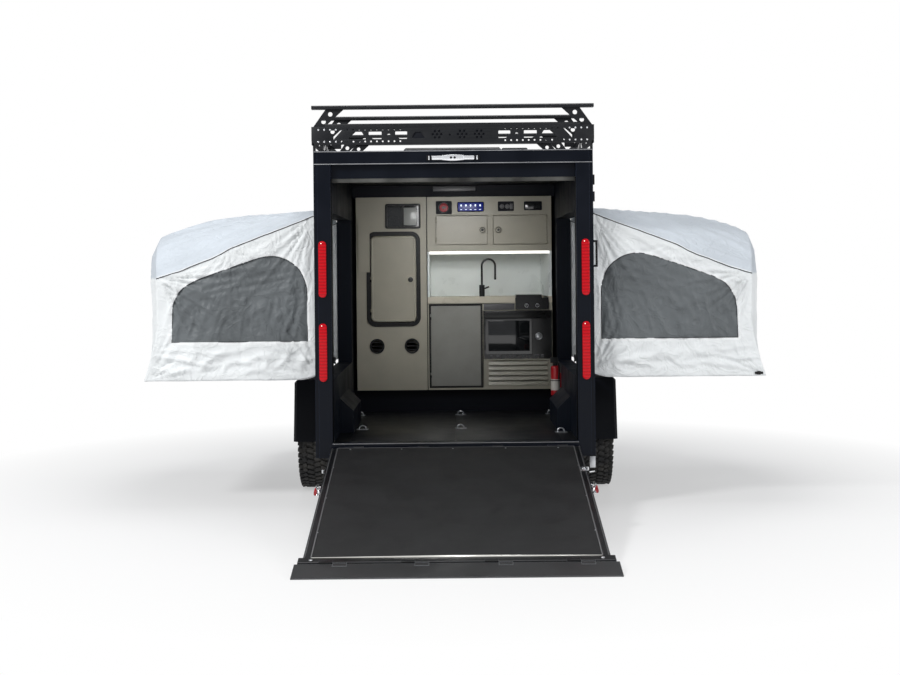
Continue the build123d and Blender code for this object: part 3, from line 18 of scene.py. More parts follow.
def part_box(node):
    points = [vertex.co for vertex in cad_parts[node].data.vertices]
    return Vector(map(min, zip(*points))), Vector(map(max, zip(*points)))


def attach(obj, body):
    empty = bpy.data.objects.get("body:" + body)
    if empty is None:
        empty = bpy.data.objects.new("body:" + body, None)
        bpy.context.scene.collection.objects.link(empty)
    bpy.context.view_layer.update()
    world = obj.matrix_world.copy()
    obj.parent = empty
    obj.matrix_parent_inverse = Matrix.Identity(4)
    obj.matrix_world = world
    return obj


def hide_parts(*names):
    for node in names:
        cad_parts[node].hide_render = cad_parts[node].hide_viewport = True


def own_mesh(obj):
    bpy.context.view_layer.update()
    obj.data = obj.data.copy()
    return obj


log = logging.getLogger("trailer")
Point = tuple[float, float, float]
Colour = tuple[float, float, float]
Pair = tuple[float, float]
Verts = list[bmesh.types.BMVert]

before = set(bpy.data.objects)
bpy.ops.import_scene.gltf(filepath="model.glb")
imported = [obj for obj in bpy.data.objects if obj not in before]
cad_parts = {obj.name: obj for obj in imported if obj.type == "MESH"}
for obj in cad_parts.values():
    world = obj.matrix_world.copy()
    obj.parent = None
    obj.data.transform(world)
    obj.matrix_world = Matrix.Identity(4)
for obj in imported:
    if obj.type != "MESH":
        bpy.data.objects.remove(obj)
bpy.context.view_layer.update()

GALLEY_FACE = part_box("base_cabinet")[0].y
REAR_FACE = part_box("floor_deck")[0].y - 0.1
FLOOR_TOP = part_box("floor_deck")[1].z
BODY_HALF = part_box("side_wall_right")[1].x - 0.016
BODY_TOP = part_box("roof_panel")[1].z


def tinted(colour: Colour, share: float) -> tuple[float, float, float, float]:
    """A colour made lighter or darker by a share, with full opacity."""
    return tuple(min(1.0, max(0.0, channel * share)) for channel in colour) + (1.0,)


class Nodes:
    """The node tree of a material or the world, with short calls to add and link nodes."""

    def __init__(self, holder: bpy.types.Material | bpy.types.World) -> None:
        """Start an empty tree.

        Args:
            holder: The material or world that the tree belongs to.
        """
        self.holder = holder
        holder.use_nodes = True
        self.tree = holder.node_tree
        self.tree.nodes.clear()

    def put(self, socket: bpy.types.NodeSocket, value: object) -> None:
        """Link an output to an input socket, or set the input's own value."""
        if isinstance(value, bpy.types.NodeSocket):
            self.tree.links.new(value, socket)
        else:
            socket.default_value = value

    def add(self, kind: str, settings: dict | None = None, **sockets: object) -> bpy.types.Node:
        """Add a node.

        Args:
            kind: The node's type without its ShaderNode prefix.
            settings: Properties of the node, such as its operation.
            sockets: Values or output sockets for its inputs, with _ for a space, or in0, in1 by place.

        Returns:
            The new node.
        """
        node = self.tree.nodes.new("ShaderNode" + kind)
        for key, value in (settings or {}).items():
            setattr(node, key, value)
        for key, value in sockets.items():
            by_place = key.startswith("in") and key[2:].isdigit()
            self.put(node.inputs[int(key[2:]) if by_place else key.replace("_", " ")], value)
        return node

    def place(self) -> bpy.types.NodeSocket:
        """Object coordinates."""
        return self.add("TexCoord").outputs["Object"]

    def noise(self, place: bpy.types.NodeSocket, scale: float, detail: float,
              distortion: float = 0.0) -> bpy.types.NodeSocket:
        """Soft noise at a place."""
        return self.add("TexNoise", None, Vector=place, Scale=scale, Detail=detail,
                        Distortion=distortion).outputs[0]

    def maths(self, operation: str, *values: object) -> bpy.types.NodeSocket:
        """The result of an operation on numbers or sockets."""
        sockets = {f"in{index}": value for index, value in enumerate(values)}
        return self.add("Math", {"operation": operation}, **sockets).outputs[0]

    def mix(self, share: object, dark: object, light: object) -> bpy.types.NodeSocket:
        """A colour between two colours.

        Args:
            share: Where between them, as a number or a socket.
            dark: The colour at 0.
            light: The colour at 1.

        Returns:
            The mixed colour's socket.
        """
        node = self.add("Mix", {"data_type": "RGBA"}, in0=share, in6=dark, in7=light)
        return node.outputs[2]

    def fit(self, value: object, low: float, high: float, to_low: float, to_high: float) -> object:
        """A value carried from one span to another, and held inside it."""
        return self.add("MapRange", None, Value=value, From_Min=low, From_Max=high, To_Min=to_low,
                        To_Max=to_high).outputs[0]

    def close(self, surface: bpy.types.NodeSocket, kind: str = "OutputMaterial") -> object:
        """End the tree in a surface and return the material or world."""
        self.add(kind, None, Surface=surface)
        return self.holder


class Surface:
    """A finish whose material is made at its first use."""

    name: str
    made: dict[str, bpy.types.Material] = {}

    def material(self) -> bpy.types.Material:
        """The finish as a material."""
        if self.name not in self.made:
            nodes = Nodes(bpy.data.materials.new(self.name))
            self.made[self.name] = nodes.close(self.shader(nodes, nodes.place()))
        return self.made[self.name]

    def shader(self, nodes: Nodes, place: bpy.types.NodeSocket) -> bpy.types.NodeSocket:
        """Build the finish's shader in a new tree and return its output."""
        raise NotImplementedError


@dataclass(frozen=True)
class Finish(Surface):
    """A hard surface: its colour, gloss, grain and softened edges, painted lighter along them as a highlight.
    """

    name: str
    colour: Colour
    rough: float = 0.45
    metal: float = 0.0
    coat: float = 0.0
    mottle: float = 0.12
    grain: float = 700.0
    relief: float = 0.12
    brush: Point = (1.0, 1.0, 1.0)
    edge: float = 0.0016
    # How many times lighter the colour is painted along the edges: a painted highlight.
    edge_highlight: float = 1.6
    # Emission: the light of lamps, and on the lip and the bright bar a painted highlight.
    glow: float = 0.0
    shine: float = 0.5

    def shader(self, nodes: Nodes, place: bpy.types.NodeSocket) -> bpy.types.NodeSocket:
        """A surface with a painted highlight along its edges, grain and clouds of gloss."""
        cloud = nodes.noise(place, 5.0, 4.0)
        stretched = nodes.add("Mapping", None, Vector=place, Scale=self.brush).outputs[0]
        fine = nodes.noise(stretched, self.grain, 2.0)
        round_edge = nodes.add("Bevel", {"samples": 4}, Radius=self.edge).outputs[0]
        flat = nodes.add("NewGeometry").outputs["Normal"]
        meet = nodes.add("VectorMath", {"operation": "DOT_PRODUCT"}, in0=round_edge, in1=flat)
        at_edge = nodes.fit(meet.outputs["Value"], 0.995, 0.8, 0.0, 1.0)
        share = nodes.fit(cloud, 0.3, 0.7, 0.0, 1.0)
        base = nodes.mix(share, tinted(self.colour, 1 - self.mottle), tinted(self.colour, 1 + self.mottle))
        # Paint the rounded edges lighter: a painted highlight.
        base = nodes.mix(at_edge, base, tinted(self.colour, self.edge_highlight))
        bump = nodes.add("Bump", None, Strength=self.relief, Distance=0.0004, Height=fine, Normal=round_edge)
        shader = nodes.add(
            "BsdfPrincipled", None, Base_Color=base, Metallic=self.metal,
            Roughness=nodes.fit(cloud, 0.3, 0.7, self.rough - 0.06, self.rough + 0.07),
            Coat_Weight=self.coat, Coat_Roughness=0.12, Normal=bump.outputs[0],
        )
        shader.inputs["Specular IOR Level"].default_value = self.shine
        if self.glow:
            shader.inputs["Emission Color"].default_value = tinted(self.colour, 1.0)
            shader.inputs["Emission Strength"].default_value = self.glow
        return shader.outputs[0]


@dataclass(frozen=True)
class Cloth(Surface):
    """A woven surface: weave, soft stains and a little sheen."""

    name: str
    colour: Colour
    weave: float = 900.0
    relief: float = 0.25
    mottle: float = 0.05
    rough: float = 0.75
    sheen: float = 0.15

    def shader(self, nodes: Nodes, place: bpy.types.NodeSocket) -> bpy.types.NodeSocket:
        """A weave of crossed threads over soft clouds of colour."""
        cloud = nodes.noise(place, 3.0, 5.0)
        threads = []
        for direction in ("X", "Z"):
            wave = nodes.add("TexWave", {"bands_direction": direction}, Vector=place, Scale=self.weave / 6.0)
            threads.append(wave.outputs["Fac"])
        weave = nodes.maths("MAXIMUM", *threads)
        share = nodes.fit(cloud, 0.3, 0.7, 0.0, 1.0)
        base = nodes.mix(share, tinted(self.colour, 1 - self.mottle),
                         tinted(self.colour, 1 + self.mottle / 2))
        bump = nodes.add("Bump", None, Strength=self.relief, Distance=0.0003, Height=weave)
        shader = nodes.add("BsdfPrincipled", None, Base_Color=base, Roughness=self.rough,
                           Sheen_Weight=self.sheen, Normal=bump.outputs[0])
        return shader.outputs[0]


@dataclass(frozen=True)
class TentCloth(Surface):
    """Coated tent cloth with a window of dark mesh where its window attribute is above 0."""

    name: str = "tent_canvas"
    canvas: Colour = (0.90, 0.925, 0.93)
    # The roof is the same canvas painted darker and bluer: painted shade.
    roof: Colour = (0.60, 0.648, 0.70)
    hem: Colour = (0.95, 0.965, 0.97)
    mesh: Colour = (0.135, 0.148, 0.155)
    band: float = 0.02

    def shader(self, nodes: Nodes, place: bpy.types.NodeSocket) -> bpy.types.NodeSocket:
        """Walls, roof painted darker as shade, and window by attribute, with crumples and a fine weave."""
        window = nodes.add("Attribute", {"attribute_name": "window"}).outputs["Fac"]
        over = nodes.add("Attribute", {"attribute_name": "roof"}).outputs["Fac"]
        inside = nodes.fit(window, -0.001, 0.001, 0.0, 1.0)
        bound = nodes.fit(window, -self.band - 0.001, -self.band, 0.0, 1.0)
        cloud = nodes.noise(place, 2.2, 5.0)
        weave = nodes.noise(place, 900.0, 1.0)
        creases = nodes.noise(place, 30.0, 4.0, 0.6)
        share = nodes.fit(cloud, 0.35, 0.65, 0.0, 1.0)
        walls = nodes.mix(share, tinted(self.canvas, 0.94), tinted(self.canvas, 1.02))
        walls = nodes.mix(bound, walls, tinted(self.hem, 1.0))
        # The roof's darker, bluer colour is painted shade.
        above = nodes.mix(share, tinted(self.roof, 0.95), tinted(self.roof, 1.06))
        canvas = nodes.mix(over, walls, above)
        mesh = nodes.mix(share, tinted(self.mesh, 0.9), tinted(self.mesh, 1.15))
        rib = nodes.maths("MULTIPLY", bound, 3.0)
        height = nodes.maths("MULTIPLY_ADD", creases, 1.6, weave)
        height = nodes.maths("ADD", height, rib)
        fine = nodes.add("Bump", None, Strength=0.22, Distance=0.0016, Height=height).outputs[0]
        crumple = nodes.noise(place, 7.0, 3.0, 1.3)
        ridge = nodes.maths("SUBTRACT", crumple, 0.5)
        ridge = nodes.maths("ABSOLUTE", ridge)
        ridge = nodes.fit(ridge, 0.0, 0.09, 1.0, 0.0)
        bump = nodes.add("Bump", None, Strength=0.5, Distance=0.006, Height=ridge, Normal=fine)
        shader = nodes.add(
            "BsdfPrincipled", None, Base_Color=nodes.mix(inside, canvas, mesh),
            Roughness=nodes.fit(inside, 0.0, 1.0, 0.6, 0.48), Sheen_Weight=0.08, Normal=bump.outputs[0],
        )
        shader.inputs["Specular IOR Level"].default_value = 0.3
        return shader.outputs[0]


@dataclass(frozen=True)
class Rubber(Surface):
    """Tyre rubber, with pale dust that lies in the grooves and on the sidewall."""

    name: str = "tyre_rubber"
    colour: Colour = (0.018, 0.018, 0.019)
    dust: Colour = (0.085, 0.08, 0.072)

    def shader(self, nodes: Nodes, place: bpy.types.NodeSocket) -> bpy.types.NodeSocket:
        """Dark rubber with clouds of dust."""
        cloud = nodes.noise(place, 11.0, 6.0)
        fine = nodes.noise(place, 420.0, 3.0)
        base = nodes.mix(nodes.fit(cloud, 0.42, 0.72, 0.0, 0.75), tinted(self.colour, 1.0),
                         tinted(self.dust, 1.0))
        bump = nodes.add("Bump", None, Strength=0.35, Distance=0.0007, Height=fine)
        shader = nodes.add("BsdfPrincipled", None, Base_Color=base, Roughness=0.78, Normal=bump.outputs[0])
        return shader.outputs[0]


@dataclass(frozen=True)
class Glass(Surface):
    """A smoked pane."""

    name: str
    colour: Colour = (0.02, 0.021, 0.022)
    rough: float = 0.06

    def shader(self, nodes: Nodes, place: bpy.types.NodeSocket) -> bpy.types.NodeSocket:
        """Dark glass with a haze."""
        haze = nodes.noise(place, 9.0, 3.0)
        base = nodes.mix(nodes.fit(haze, 0.3, 0.7, 0.0, 1.0), tinted(self.colour, 0.8),
                         tinted(self.colour, 1.5))
        shader = nodes.add(
            "BsdfPrincipled", None, Base_Color=base, Coat_Weight=0.8, Coat_Roughness=0.04,
            Roughness=nodes.fit(haze, 0.3, 0.7, self.rough, self.rough + 0.08),
        )
        return shader.outputs[0]


@dataclass(frozen=True)
class Lens(Surface):
    """A lit red lens, brighter along its middle; the bright spot at its upper tip is a separate painted
    glint.
    """

    name: str = "red_lens"
    colour: Colour = (0.46, 0.002, 0.007)

    def shader(self, nodes: Nodes, place: bpy.types.NodeSocket) -> bpy.types.NodeSocket:
        """Ribs of red that glow."""
        ribs = nodes.add("TexWave", {"bands_direction": "Z"}, Vector=place, Scale=14.0).outputs["Fac"]
        facing = nodes.add("LayerWeight", None, Blend=0.35).outputs["Facing"]
        base = nodes.mix(ribs, tinted(self.colour, 0.72), tinted(self.colour, 1.15))
        glow = nodes.mix(facing, (1.0, 0.012, 0.03, 1.0), (0.35, 0.0, 0.0, 1.0))
        bump = nodes.add("Bump", None, Strength=0.5, Distance=0.002, Height=ribs)
        shader = nodes.add("BsdfPrincipled", None, Base_Color=base, Roughness=0.22, Coat_Weight=0.15,
                           Emission_Color=glow, Emission_Strength=0.14, Normal=bump.outputs[0])
        shader.inputs["Specular IOR Level"].default_value = 0.2
        return shader.outputs[0]


class Paint:
    """The trailer's hard finishes and panes."""

    body = Finish("body_black_coat", (0.004, 0.0055, 0.0095), rough=0.4, grain=520, relief=0.25, edge_highlight=4.0,
                  shine=0.2)
    frame_coat = Finish("frame_black_coat", (0.0035, 0.0052, 0.0102), rough=0.34, grain=400, relief=0.15,
                        edge_highlight=9.0, edge=0.003, shine=0.18)
    inner = Finish("inner_dark_board", (0.002, 0.0045, 0.0105), rough=0.5, relief=0.0, edge_highlight=2.5,
                   shine=0.22)
    floor = Finish("floor_composite", (0.005, 0.0055, 0.007), rough=0.34, mottle=0.4, grain=120,
                   relief=0.4, brush=(0.25, 1.0, 1.0), edge_highlight=2.0, shine=0.4)
    chassis = Finish("chassis_black", (0.007, 0.007, 0.008), rough=0.5, grain=420, relief=0.35, edge_highlight=2.2,
                     shine=0.3)
    fender = Finish("fender_black", (0.0028, 0.0036, 0.0066), rough=0.38, grain=380, relief=0.3, edge_highlight=6.0,
                    edge=0.003, shine=0.2)
    ramp = Finish("ramp_black", (0.005, 0.0055, 0.0065), rough=0.34, grain=500, relief=0.2, edge_highlight=16.0,
                  edge=0.004, shine=0.3)
    # Grey that paints thin highlights along black edges.
    line = Finish("bright_edge", (0.34, 0.345, 0.36), rough=0.3, metal=0.3, mottle=0.2, relief=0.05,
                  edge_highlight=1.3)
    deck = Finish("ramp_sheet", (0.0135, 0.0137, 0.0145), rough=0.55, mottle=0.12, grain=260, relief=0.6,
                  edge_highlight=1.8, shine=0.28)
    flap = Finish("flap_plate", (0.02, 0.0205, 0.022), rough=0.4, grain=260, relief=0.3, edge_highlight=14.0,
                  edge=0.005)
    rack = Finish("rack_black", (0.0085, 0.0095, 0.012), rough=0.46, grain=520, relief=0.4, edge_highlight=4.5,
                  shine=0.35)
    vent = Finish("vent_moulding", (0.012, 0.0125, 0.015), rough=0.5, grain=400, relief=0.3)
    beige = Finish("cabinet_beige", (0.43, 0.405, 0.325), rough=0.4, mottle=0.05, grain=600, relief=0.1,
                   edge_highlight=1.25)
    door = Finish("door_beige", (0.42, 0.395, 0.315), rough=0.34, mottle=0.06, grain=600, relief=0.1,
                  edge_highlight=1.5, edge=0.003)
    splash = Finish("backsplash_board", (0.84, 0.89, 0.87), rough=0.3, mottle=0.04, grain=300,
                    relief=0.05, edge_highlight=1.1)
    counter = Finish("counter_cream", (0.62, 0.57, 0.46), rough=0.3, mottle=0.06, grain=900, relief=0.08,
                     edge_highlight=1.2, edge=0.003)
    filler = Finish("filler_board", (0.0035, 0.0045, 0.009), rough=0.55, grain=300, relief=0.1, shine=0.2)
    trim = Finish("black_trim", (0.006, 0.006, 0.0065), rough=0.42, grain=500, relief=0.2, edge_highlight=3.0,
                  shine=0.35)
    knob = Finish("black_knob", (0.007, 0.007, 0.008), rough=0.28, coat=0.3, grain=500, relief=0.05,
                  edge_highlight=5.0)
    enamel = Finish("black_enamel", (0.004, 0.004, 0.0045), rough=0.2, coat=0.3, relief=0.02, edge_highlight=5.0,
                    shine=0.4)
    steel = Finish("brushed_steel", (0.27, 0.268, 0.245), rough=0.4, metal=0.5, mottle=0.1, grain=900,
                   relief=0.4, brush=(1.0, 1.0, 0.03), edge_highlight=1.3)
    zinc = Finish("zinc_plate", (0.62, 0.63, 0.65), rough=0.3, metal=1.0, mottle=0.16, relief=0.15,
                  edge_highlight=1.2)
    chrome = Finish("bright_plate", (0.78, 0.79, 0.8), rough=0.14, metal=1.0, mottle=0.06, relief=0.04,
                    edge_highlight=1.1)
    # A pale, faintly glowing metal that paints the end bar's highlight.
    lip = Finish("polished_lip", (0.8, 0.79, 0.74), rough=0.2, metal=0.5, mottle=0.1, relief=0.05,
                 glow=0.25)
    slat = Finish("louvre_slat", (0.37, 0.35, 0.285), rough=0.38, mottle=0.06, edge_highlight=1.4)
    # A lighter copy of the slat colour that paints the highlight on each slat's lip.
    slat_highlight = Finish("louvre_lip", (0.6, 0.58, 0.5), rough=0.3, mottle=0.04, relief=0.05, edge_highlight=1.1)
    red = Finish("latch_red", (0.42, 0.008, 0.014), rough=0.35, coat=0.4, relief=0.06, edge_highlight=1.4)
    bottle = Finish("bottle_white", (0.62, 0.62, 0.6), rough=0.35, coat=0.3, mottle=0.05, relief=0.1,
                    edge_highlight=1.1)
    wheel = Finish("wheel_black", (0.010, 0.010, 0.011), rough=0.34, metal=0.2, relief=0.15, edge_highlight=4.0,
                   shine=0.4)
    # Its glow paints a highlight on the header bar and a glint on the rack's screws.
    bright = Finish("bright_bar", (0.66, 0.67, 0.69), rough=0.2, metal=0.85, mottle=0.1, relief=0.05,
                    glow=0.5)
    # Glows as the counter's lamp strip, and as the painted glints on the tail lamps' tips.
    strip = Finish("light_strip", (1.0, 0.98, 0.92), rough=0.4, mottle=0.02, glow=1.3)
    white = Finish("white_label", (0.56, 0.54, 0.5), rough=0.4, mottle=0.06, relief=0.05, edge_highlight=1.1)
    grey_strip = Finish("grey_strip", (0.10, 0.10, 0.104), rough=0.4, mottle=0.08, relief=0.1, edge_highlight=1.5)
    seal = Finish("brush_seal", (0.06, 0.06, 0.056), rough=0.9, mottle=0.9, grain=90, relief=1.0,
                  brush=(1.0, 1.0, 0.25))
    blue = Finish("switch_blue", (0.008, 0.016, 0.16), rough=0.3, mottle=0.1, glow=0.5)
    spot = Finish("switch_light", (0.75, 0.85, 1.0), rough=0.3, mottle=0.02, glow=1.1)
    dial = Finish("dial_red", (0.4, 0.02, 0.03), rough=0.4, mottle=0.1, relief=0.05, edge_highlight=1.2)
    mat = Finish("floor_mat", (0.008, 0.009, 0.0115), rough=0.38, mottle=0.3, grain=160, relief=0.8)
    brow = Finish("oven_brow", (0.007, 0.007, 0.007), rough=0.3, coat=0.3, edge_highlight=4.0, shine=0.3)
    brass = Finish("valve_brass", (0.5, 0.36, 0.14), rough=0.32, metal=1.0)
    # Dark grey for the windows' piping and for the painted shadow along the eaves.
    piping = Finish("piping_grey", (0.03, 0.034, 0.038), rough=0.6)
    pale_pane = Finish("pale_pane", (0.34, 0.35, 0.33), rough=0.2, coat=0.5, mottle=0.1, edge_highlight=1.0)
    smoked = Glass("smoked_pane")
    oven_glass = Glass("oven_glass", (0.008, 0.009, 0.01))
    display = Glass("display_glass", (0.012, 0.013, 0.014))


class Look(Enum):
    """How a piece's faces are shaded."""

    SOFT = math.radians(35)
    SMOOTH = math.pi


class Part:
    """A mesh in the making, in metres in the trailer's own axes, that becomes one finished piece."""

    def __init__(self, name: str) -> None:
        """Start an empty mesh.

        Args:
            name: The finished piece's name.
        """
        self.name = name
        self.bm = bmesh.new()

    def block(self, low: Sequence[float], high: Sequence[float], soft: float = 0.0,
              turn: Matrix | None = None) -> Verts:
        """Add a box.

        Args:
            low: Its lowest corner.
            high: Its highest corner.
            soft: How far its edges are rounded.
            turn: A last transform, such as a slope.

        Returns:
            The box's vertices.
        """
        low, high = Vector(low), Vector(high)
        middle = (low + high) / 2
        place = Matrix.Translation(middle) @ Matrix.Diagonal((*(high - low), 1.0))
        made = bmesh.ops.create_cube(self.bm, size=1.0, matrix=place)["verts"]
        made = self._soften(made, soft)
        if turn is not None:
            bmesh.ops.transform(self.bm, matrix=turn, verts=made)
        return made

    def rod(self, start: Sequence[float], end: Sequence[float], radius: float, tip: float | None = None,
            sides: int = 24, soft: float = 0.0) -> Verts:
        """Add a round bar or a cone.

        Args:
            start: The middle of one end.
            end: The middle of the other end.
            radius: The radius at the start.
            tip: The radius at the end, if it differs.
            sides: How many sides it has.
            soft: How far its rims are rounded.

        Returns:
            The bar's vertices.
        """
        start, end = Vector(start), Vector(end)
        way = end - start
        turn = way.to_track_quat("Z", "Y").to_matrix().to_4x4()
        place = Matrix.Translation((start + end) / 2) @ turn
        made = bmesh.ops.create_cone(
            self.bm, cap_ends=True, cap_tris=False, segments=sides, radius1=radius,
            radius2=radius if tip is None else tip, depth=way.length, matrix=place,
        )["verts"]
        if not soft:
            return made
        rims = [e for e in self._edges(made) if len(e.link_faces) == 2 and
                max(len(f.verts) for f in e.link_faces) == sides]
        return self._bevel(made, rims, soft)

    def ball(self, centre: Sequence[float], radius: float, squeeze: Point = (1, 1, 1)) -> Verts:
        """Add a ball, squeezed along the axes where squeeze is under 1."""
        place = Matrix.Translation(centre) @ Matrix.Diagonal((*squeeze, 1.0))
        return bmesh.ops.create_uvsphere(self.bm, u_segments=24, v_segments=14, radius=radius,
                                         matrix=place)["verts"]

    def lathe(self, profile: Iterable[Pair], centre: Sequence[float], axis: Sequence[float],
              steps: int = 48) -> Verts:
        """Turn a profile round an axis.

        Args:
            profile: Radius and place along the axis of each point, closed on itself.
            centre: A point on the axis.
            axis: The axis' direction.
            steps: How many steps the full turn has.

        Returns:
            The turned shape's vertices.
        """
        before = set(self.bm.verts)
        ring = [self.bm.verts.new((radius, 0.0, along)) for radius, along in profile]
        edges = [self.bm.edges.new((ring[i - 1], ring[i])) for i in range(len(ring))]
        bmesh.ops.spin(self.bm, geom=ring + edges, cent=(0, 0, 0), axis=(0, 0, 1), angle=2 * math.pi,
                       steps=steps, use_merge=True)
        made = [v for v in self.bm.verts if v not in before]
        turn = Vector(axis).to_track_quat("Z", "Y").to_matrix().to_4x4()
        bmesh.ops.transform(self.bm, matrix=Matrix.Translation(centre) @ turn, verts=made)
        return made

    def ring(self, centre: Sequence[float], axis: Sequence[float], radius: float, bar: float,
             steps: int = 40) -> Verts:
        """Add a round ring of a round bar."""
        turns = [2 * math.pi * i / 12 for i in range(12)]
        section = [(radius + bar * math.cos(a), bar * math.sin(a)) for a in turns]
        return self.lathe(section, centre, axis, steps)

    def plate(self, outline: Sequence[Pair], holes: Iterable[Sequence[Pair]],
              thickness: float, place: Matrix, soft: float = 0.0006) -> None:
        """Add a flat plate with holes, drawn in its own plane.

        Args:
            outline: The plate's outer edge.
            holes: The edge of each hole.
            thickness: The plate's thickness, to both sides of its plane.
            place: Where its plane lies.
            soft: How far its edges are rounded.
        """
        curve = bpy.data.curves.new(self.name + "_outline", "CURVE")
        curve.dimensions = "2D"
        curve.fill_mode = "BOTH"
        curve.extrude = thickness / 2 - soft
        curve.bevel_depth = soft
        curve.bevel_resolution = 1
        for edge in [outline, *holes]:
            spline = curve.splines.new("POLY")
            spline.points.add(len(edge) - 1)
            for point, (x, y) in zip(spline.points, edge):
                point.co = (x, y, 0.0, 1.0)
            spline.use_cyclic_u = True
        self._take(curve, place)

    def pipe(self, points: Sequence[Sequence[float]], radius: float, closed: bool = False,
             smooth: bool = True, sides: int = 3) -> None:
        """Add a round bar that follows points.

        Args:
            points: The points, control points where it is smooth.
            radius: The bar's radius.
            closed: Whether it closes on itself.
            smooth: Whether it bends smoothly or has straight runs.
            sides: The resolution of its round section.
        """
        curve = bpy.data.curves.new(self.name + "_line", "CURVE")
        curve.dimensions = "3D"
        curve.bevel_depth = radius
        curve.bevel_resolution = sides
        curve.use_fill_caps = not closed
        spline = curve.splines.new("NURBS" if smooth else "POLY")
        spline.points.add(len(points) - 1)
        for point, place in zip(spline.points, points):
            point.co = (*place, 1.0)
        spline.use_cyclic_u = closed
        if smooth:
            spline.order_u = 3
            spline.use_endpoint_u = not closed
            spline.resolution_u = 6
        self._take(curve, Matrix.Identity(4))

    def finish(self, finish: object, body: str = "root", look: Look = Look.SOFT,
               stands_for: Sequence[str] = (), merge: float = 1e-6) -> bpy.types.Object:
        """Close the mesh and make it a piece of the trailer.

        Args:
            finish: The piece's finish.
            body: The body that it rides on.
            look: How its faces are shaded.
            stands_for: CAD nodes that it replaces.
            merge: How near two vertices are merged.

        Returns:
            The finished object.
        """
        bmesh.ops.remove_doubles(self.bm, verts=self.bm.verts, dist=merge)
        bmesh.ops.recalc_face_normals(self.bm, faces=self.bm.faces)
        mesh = bpy.data.meshes.new(self.name)
        self.bm.to_mesh(mesh)
        self.bm.free()
        mesh.materials.append(finish.material())
        piece = placed(self.name, mesh)
        shade(piece, look)
        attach(piece, body)
        if stands_for:
            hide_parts(*stands_for)
        log.info("%s: %d faces, rides on %s", self.name, len(mesh.polygons), body)
        return piece

    def move(self, place: Matrix) -> None:
        """Carry the whole mesh along."""
        bmesh.ops.transform(self.bm, matrix=place, verts=self.bm.verts)

    def _edges(self, verts: Iterable[bmesh.types.BMVert]) -> list[bmesh.types.BMEdge]:
        """The edges at some vertices, each once."""
        return list({edge for vert in verts for edge in vert.link_edges})

    def _soften(self, verts: Verts, soft: float) -> Verts:
        """Round every edge at some vertices, where soft is above 0."""
        return self._bevel(verts, self._edges(verts), soft) if soft else verts

    def _bevel(self, verts: Verts, edges: list[bmesh.types.BMEdge],
               soft: float) -> Verts:
        """Round some edges and return the vertices that stand for the given ones."""
        kept = set(self.bm.verts) - set(verts)
        bmesh.ops.bevel(self.bm, geom=edges, offset=soft, segments=2, profile=0.5, affect="EDGES",
                        material=-1)
        return [v for v in self.bm.verts if v not in kept]

    def _take(self, curve: bpy.types.Curve, place: Matrix) -> None:
        """Turn a curve into mesh and add it."""
        holder = placed(curve.name, curve)
        mesh = bpy.data.meshes.new_from_object(holder.evaluated_get(bpy.context.evaluated_depsgraph_get()))
        mesh.transform(place)
        self.bm.from_mesh(mesh)
        bpy.data.objects.remove(holder)
        bpy.data.meshes.remove(mesh)


def placed(name: str, data: bpy.types.ID) -> bpy.types.Object:
    """A new object in the scene that holds data."""
    holder = bpy.data.objects.new(name, data)
    bpy.context.scene.collection.objects.link(holder)
    return holder


def shade(piece: bpy.types.Object, look: Look) -> None:
    """Shade a piece's faces, sharp where two of them meet at more than the look's angle."""
    mesh = piece.data
    mesh.polygons.foreach_set("use_smooth", [True] * len(mesh.polygons))
    if look is Look.SOFT:
        mesh.set_sharp_from_angle(angle=look.value)


def circle(x: float, y: float, radius: float, steps: int = 16) -> list[Pair]:
    """Points of a circle."""
    turns = [2 * math.pi * i / steps for i in range(steps)]
    return [(x + radius * math.cos(a), y + radius * math.sin(a)) for a in turns]


def rounded(x0: float, x1: float, y0: float, y1: float, radius: float, steps: int = 5) -> list[Pair]:
    """Points of a rectangle with rounded corners."""
    corners = ((x1 - radius, y1 - radius, 0), (x0 + radius, y1 - radius, 1),
               (x0 + radius, y0 + radius, 2), (x1 - radius, y0 + radius, 3))
    points = []
    for x, y, quarter in corners:
        for step in range(steps + 1):
            angle = math.pi / 2 * (quarter + step / steps)
            points.append((x + radius * math.cos(angle), y + radius * math.sin(angle)))
    return points


def facing_rear(y: float) -> Matrix:
    """A place for a plate that is drawn as X and Z and lies at y."""
    return Matrix.Translation((0, y, 0)) @ Matrix.Rotation(math.pi / 2, 4, "X")


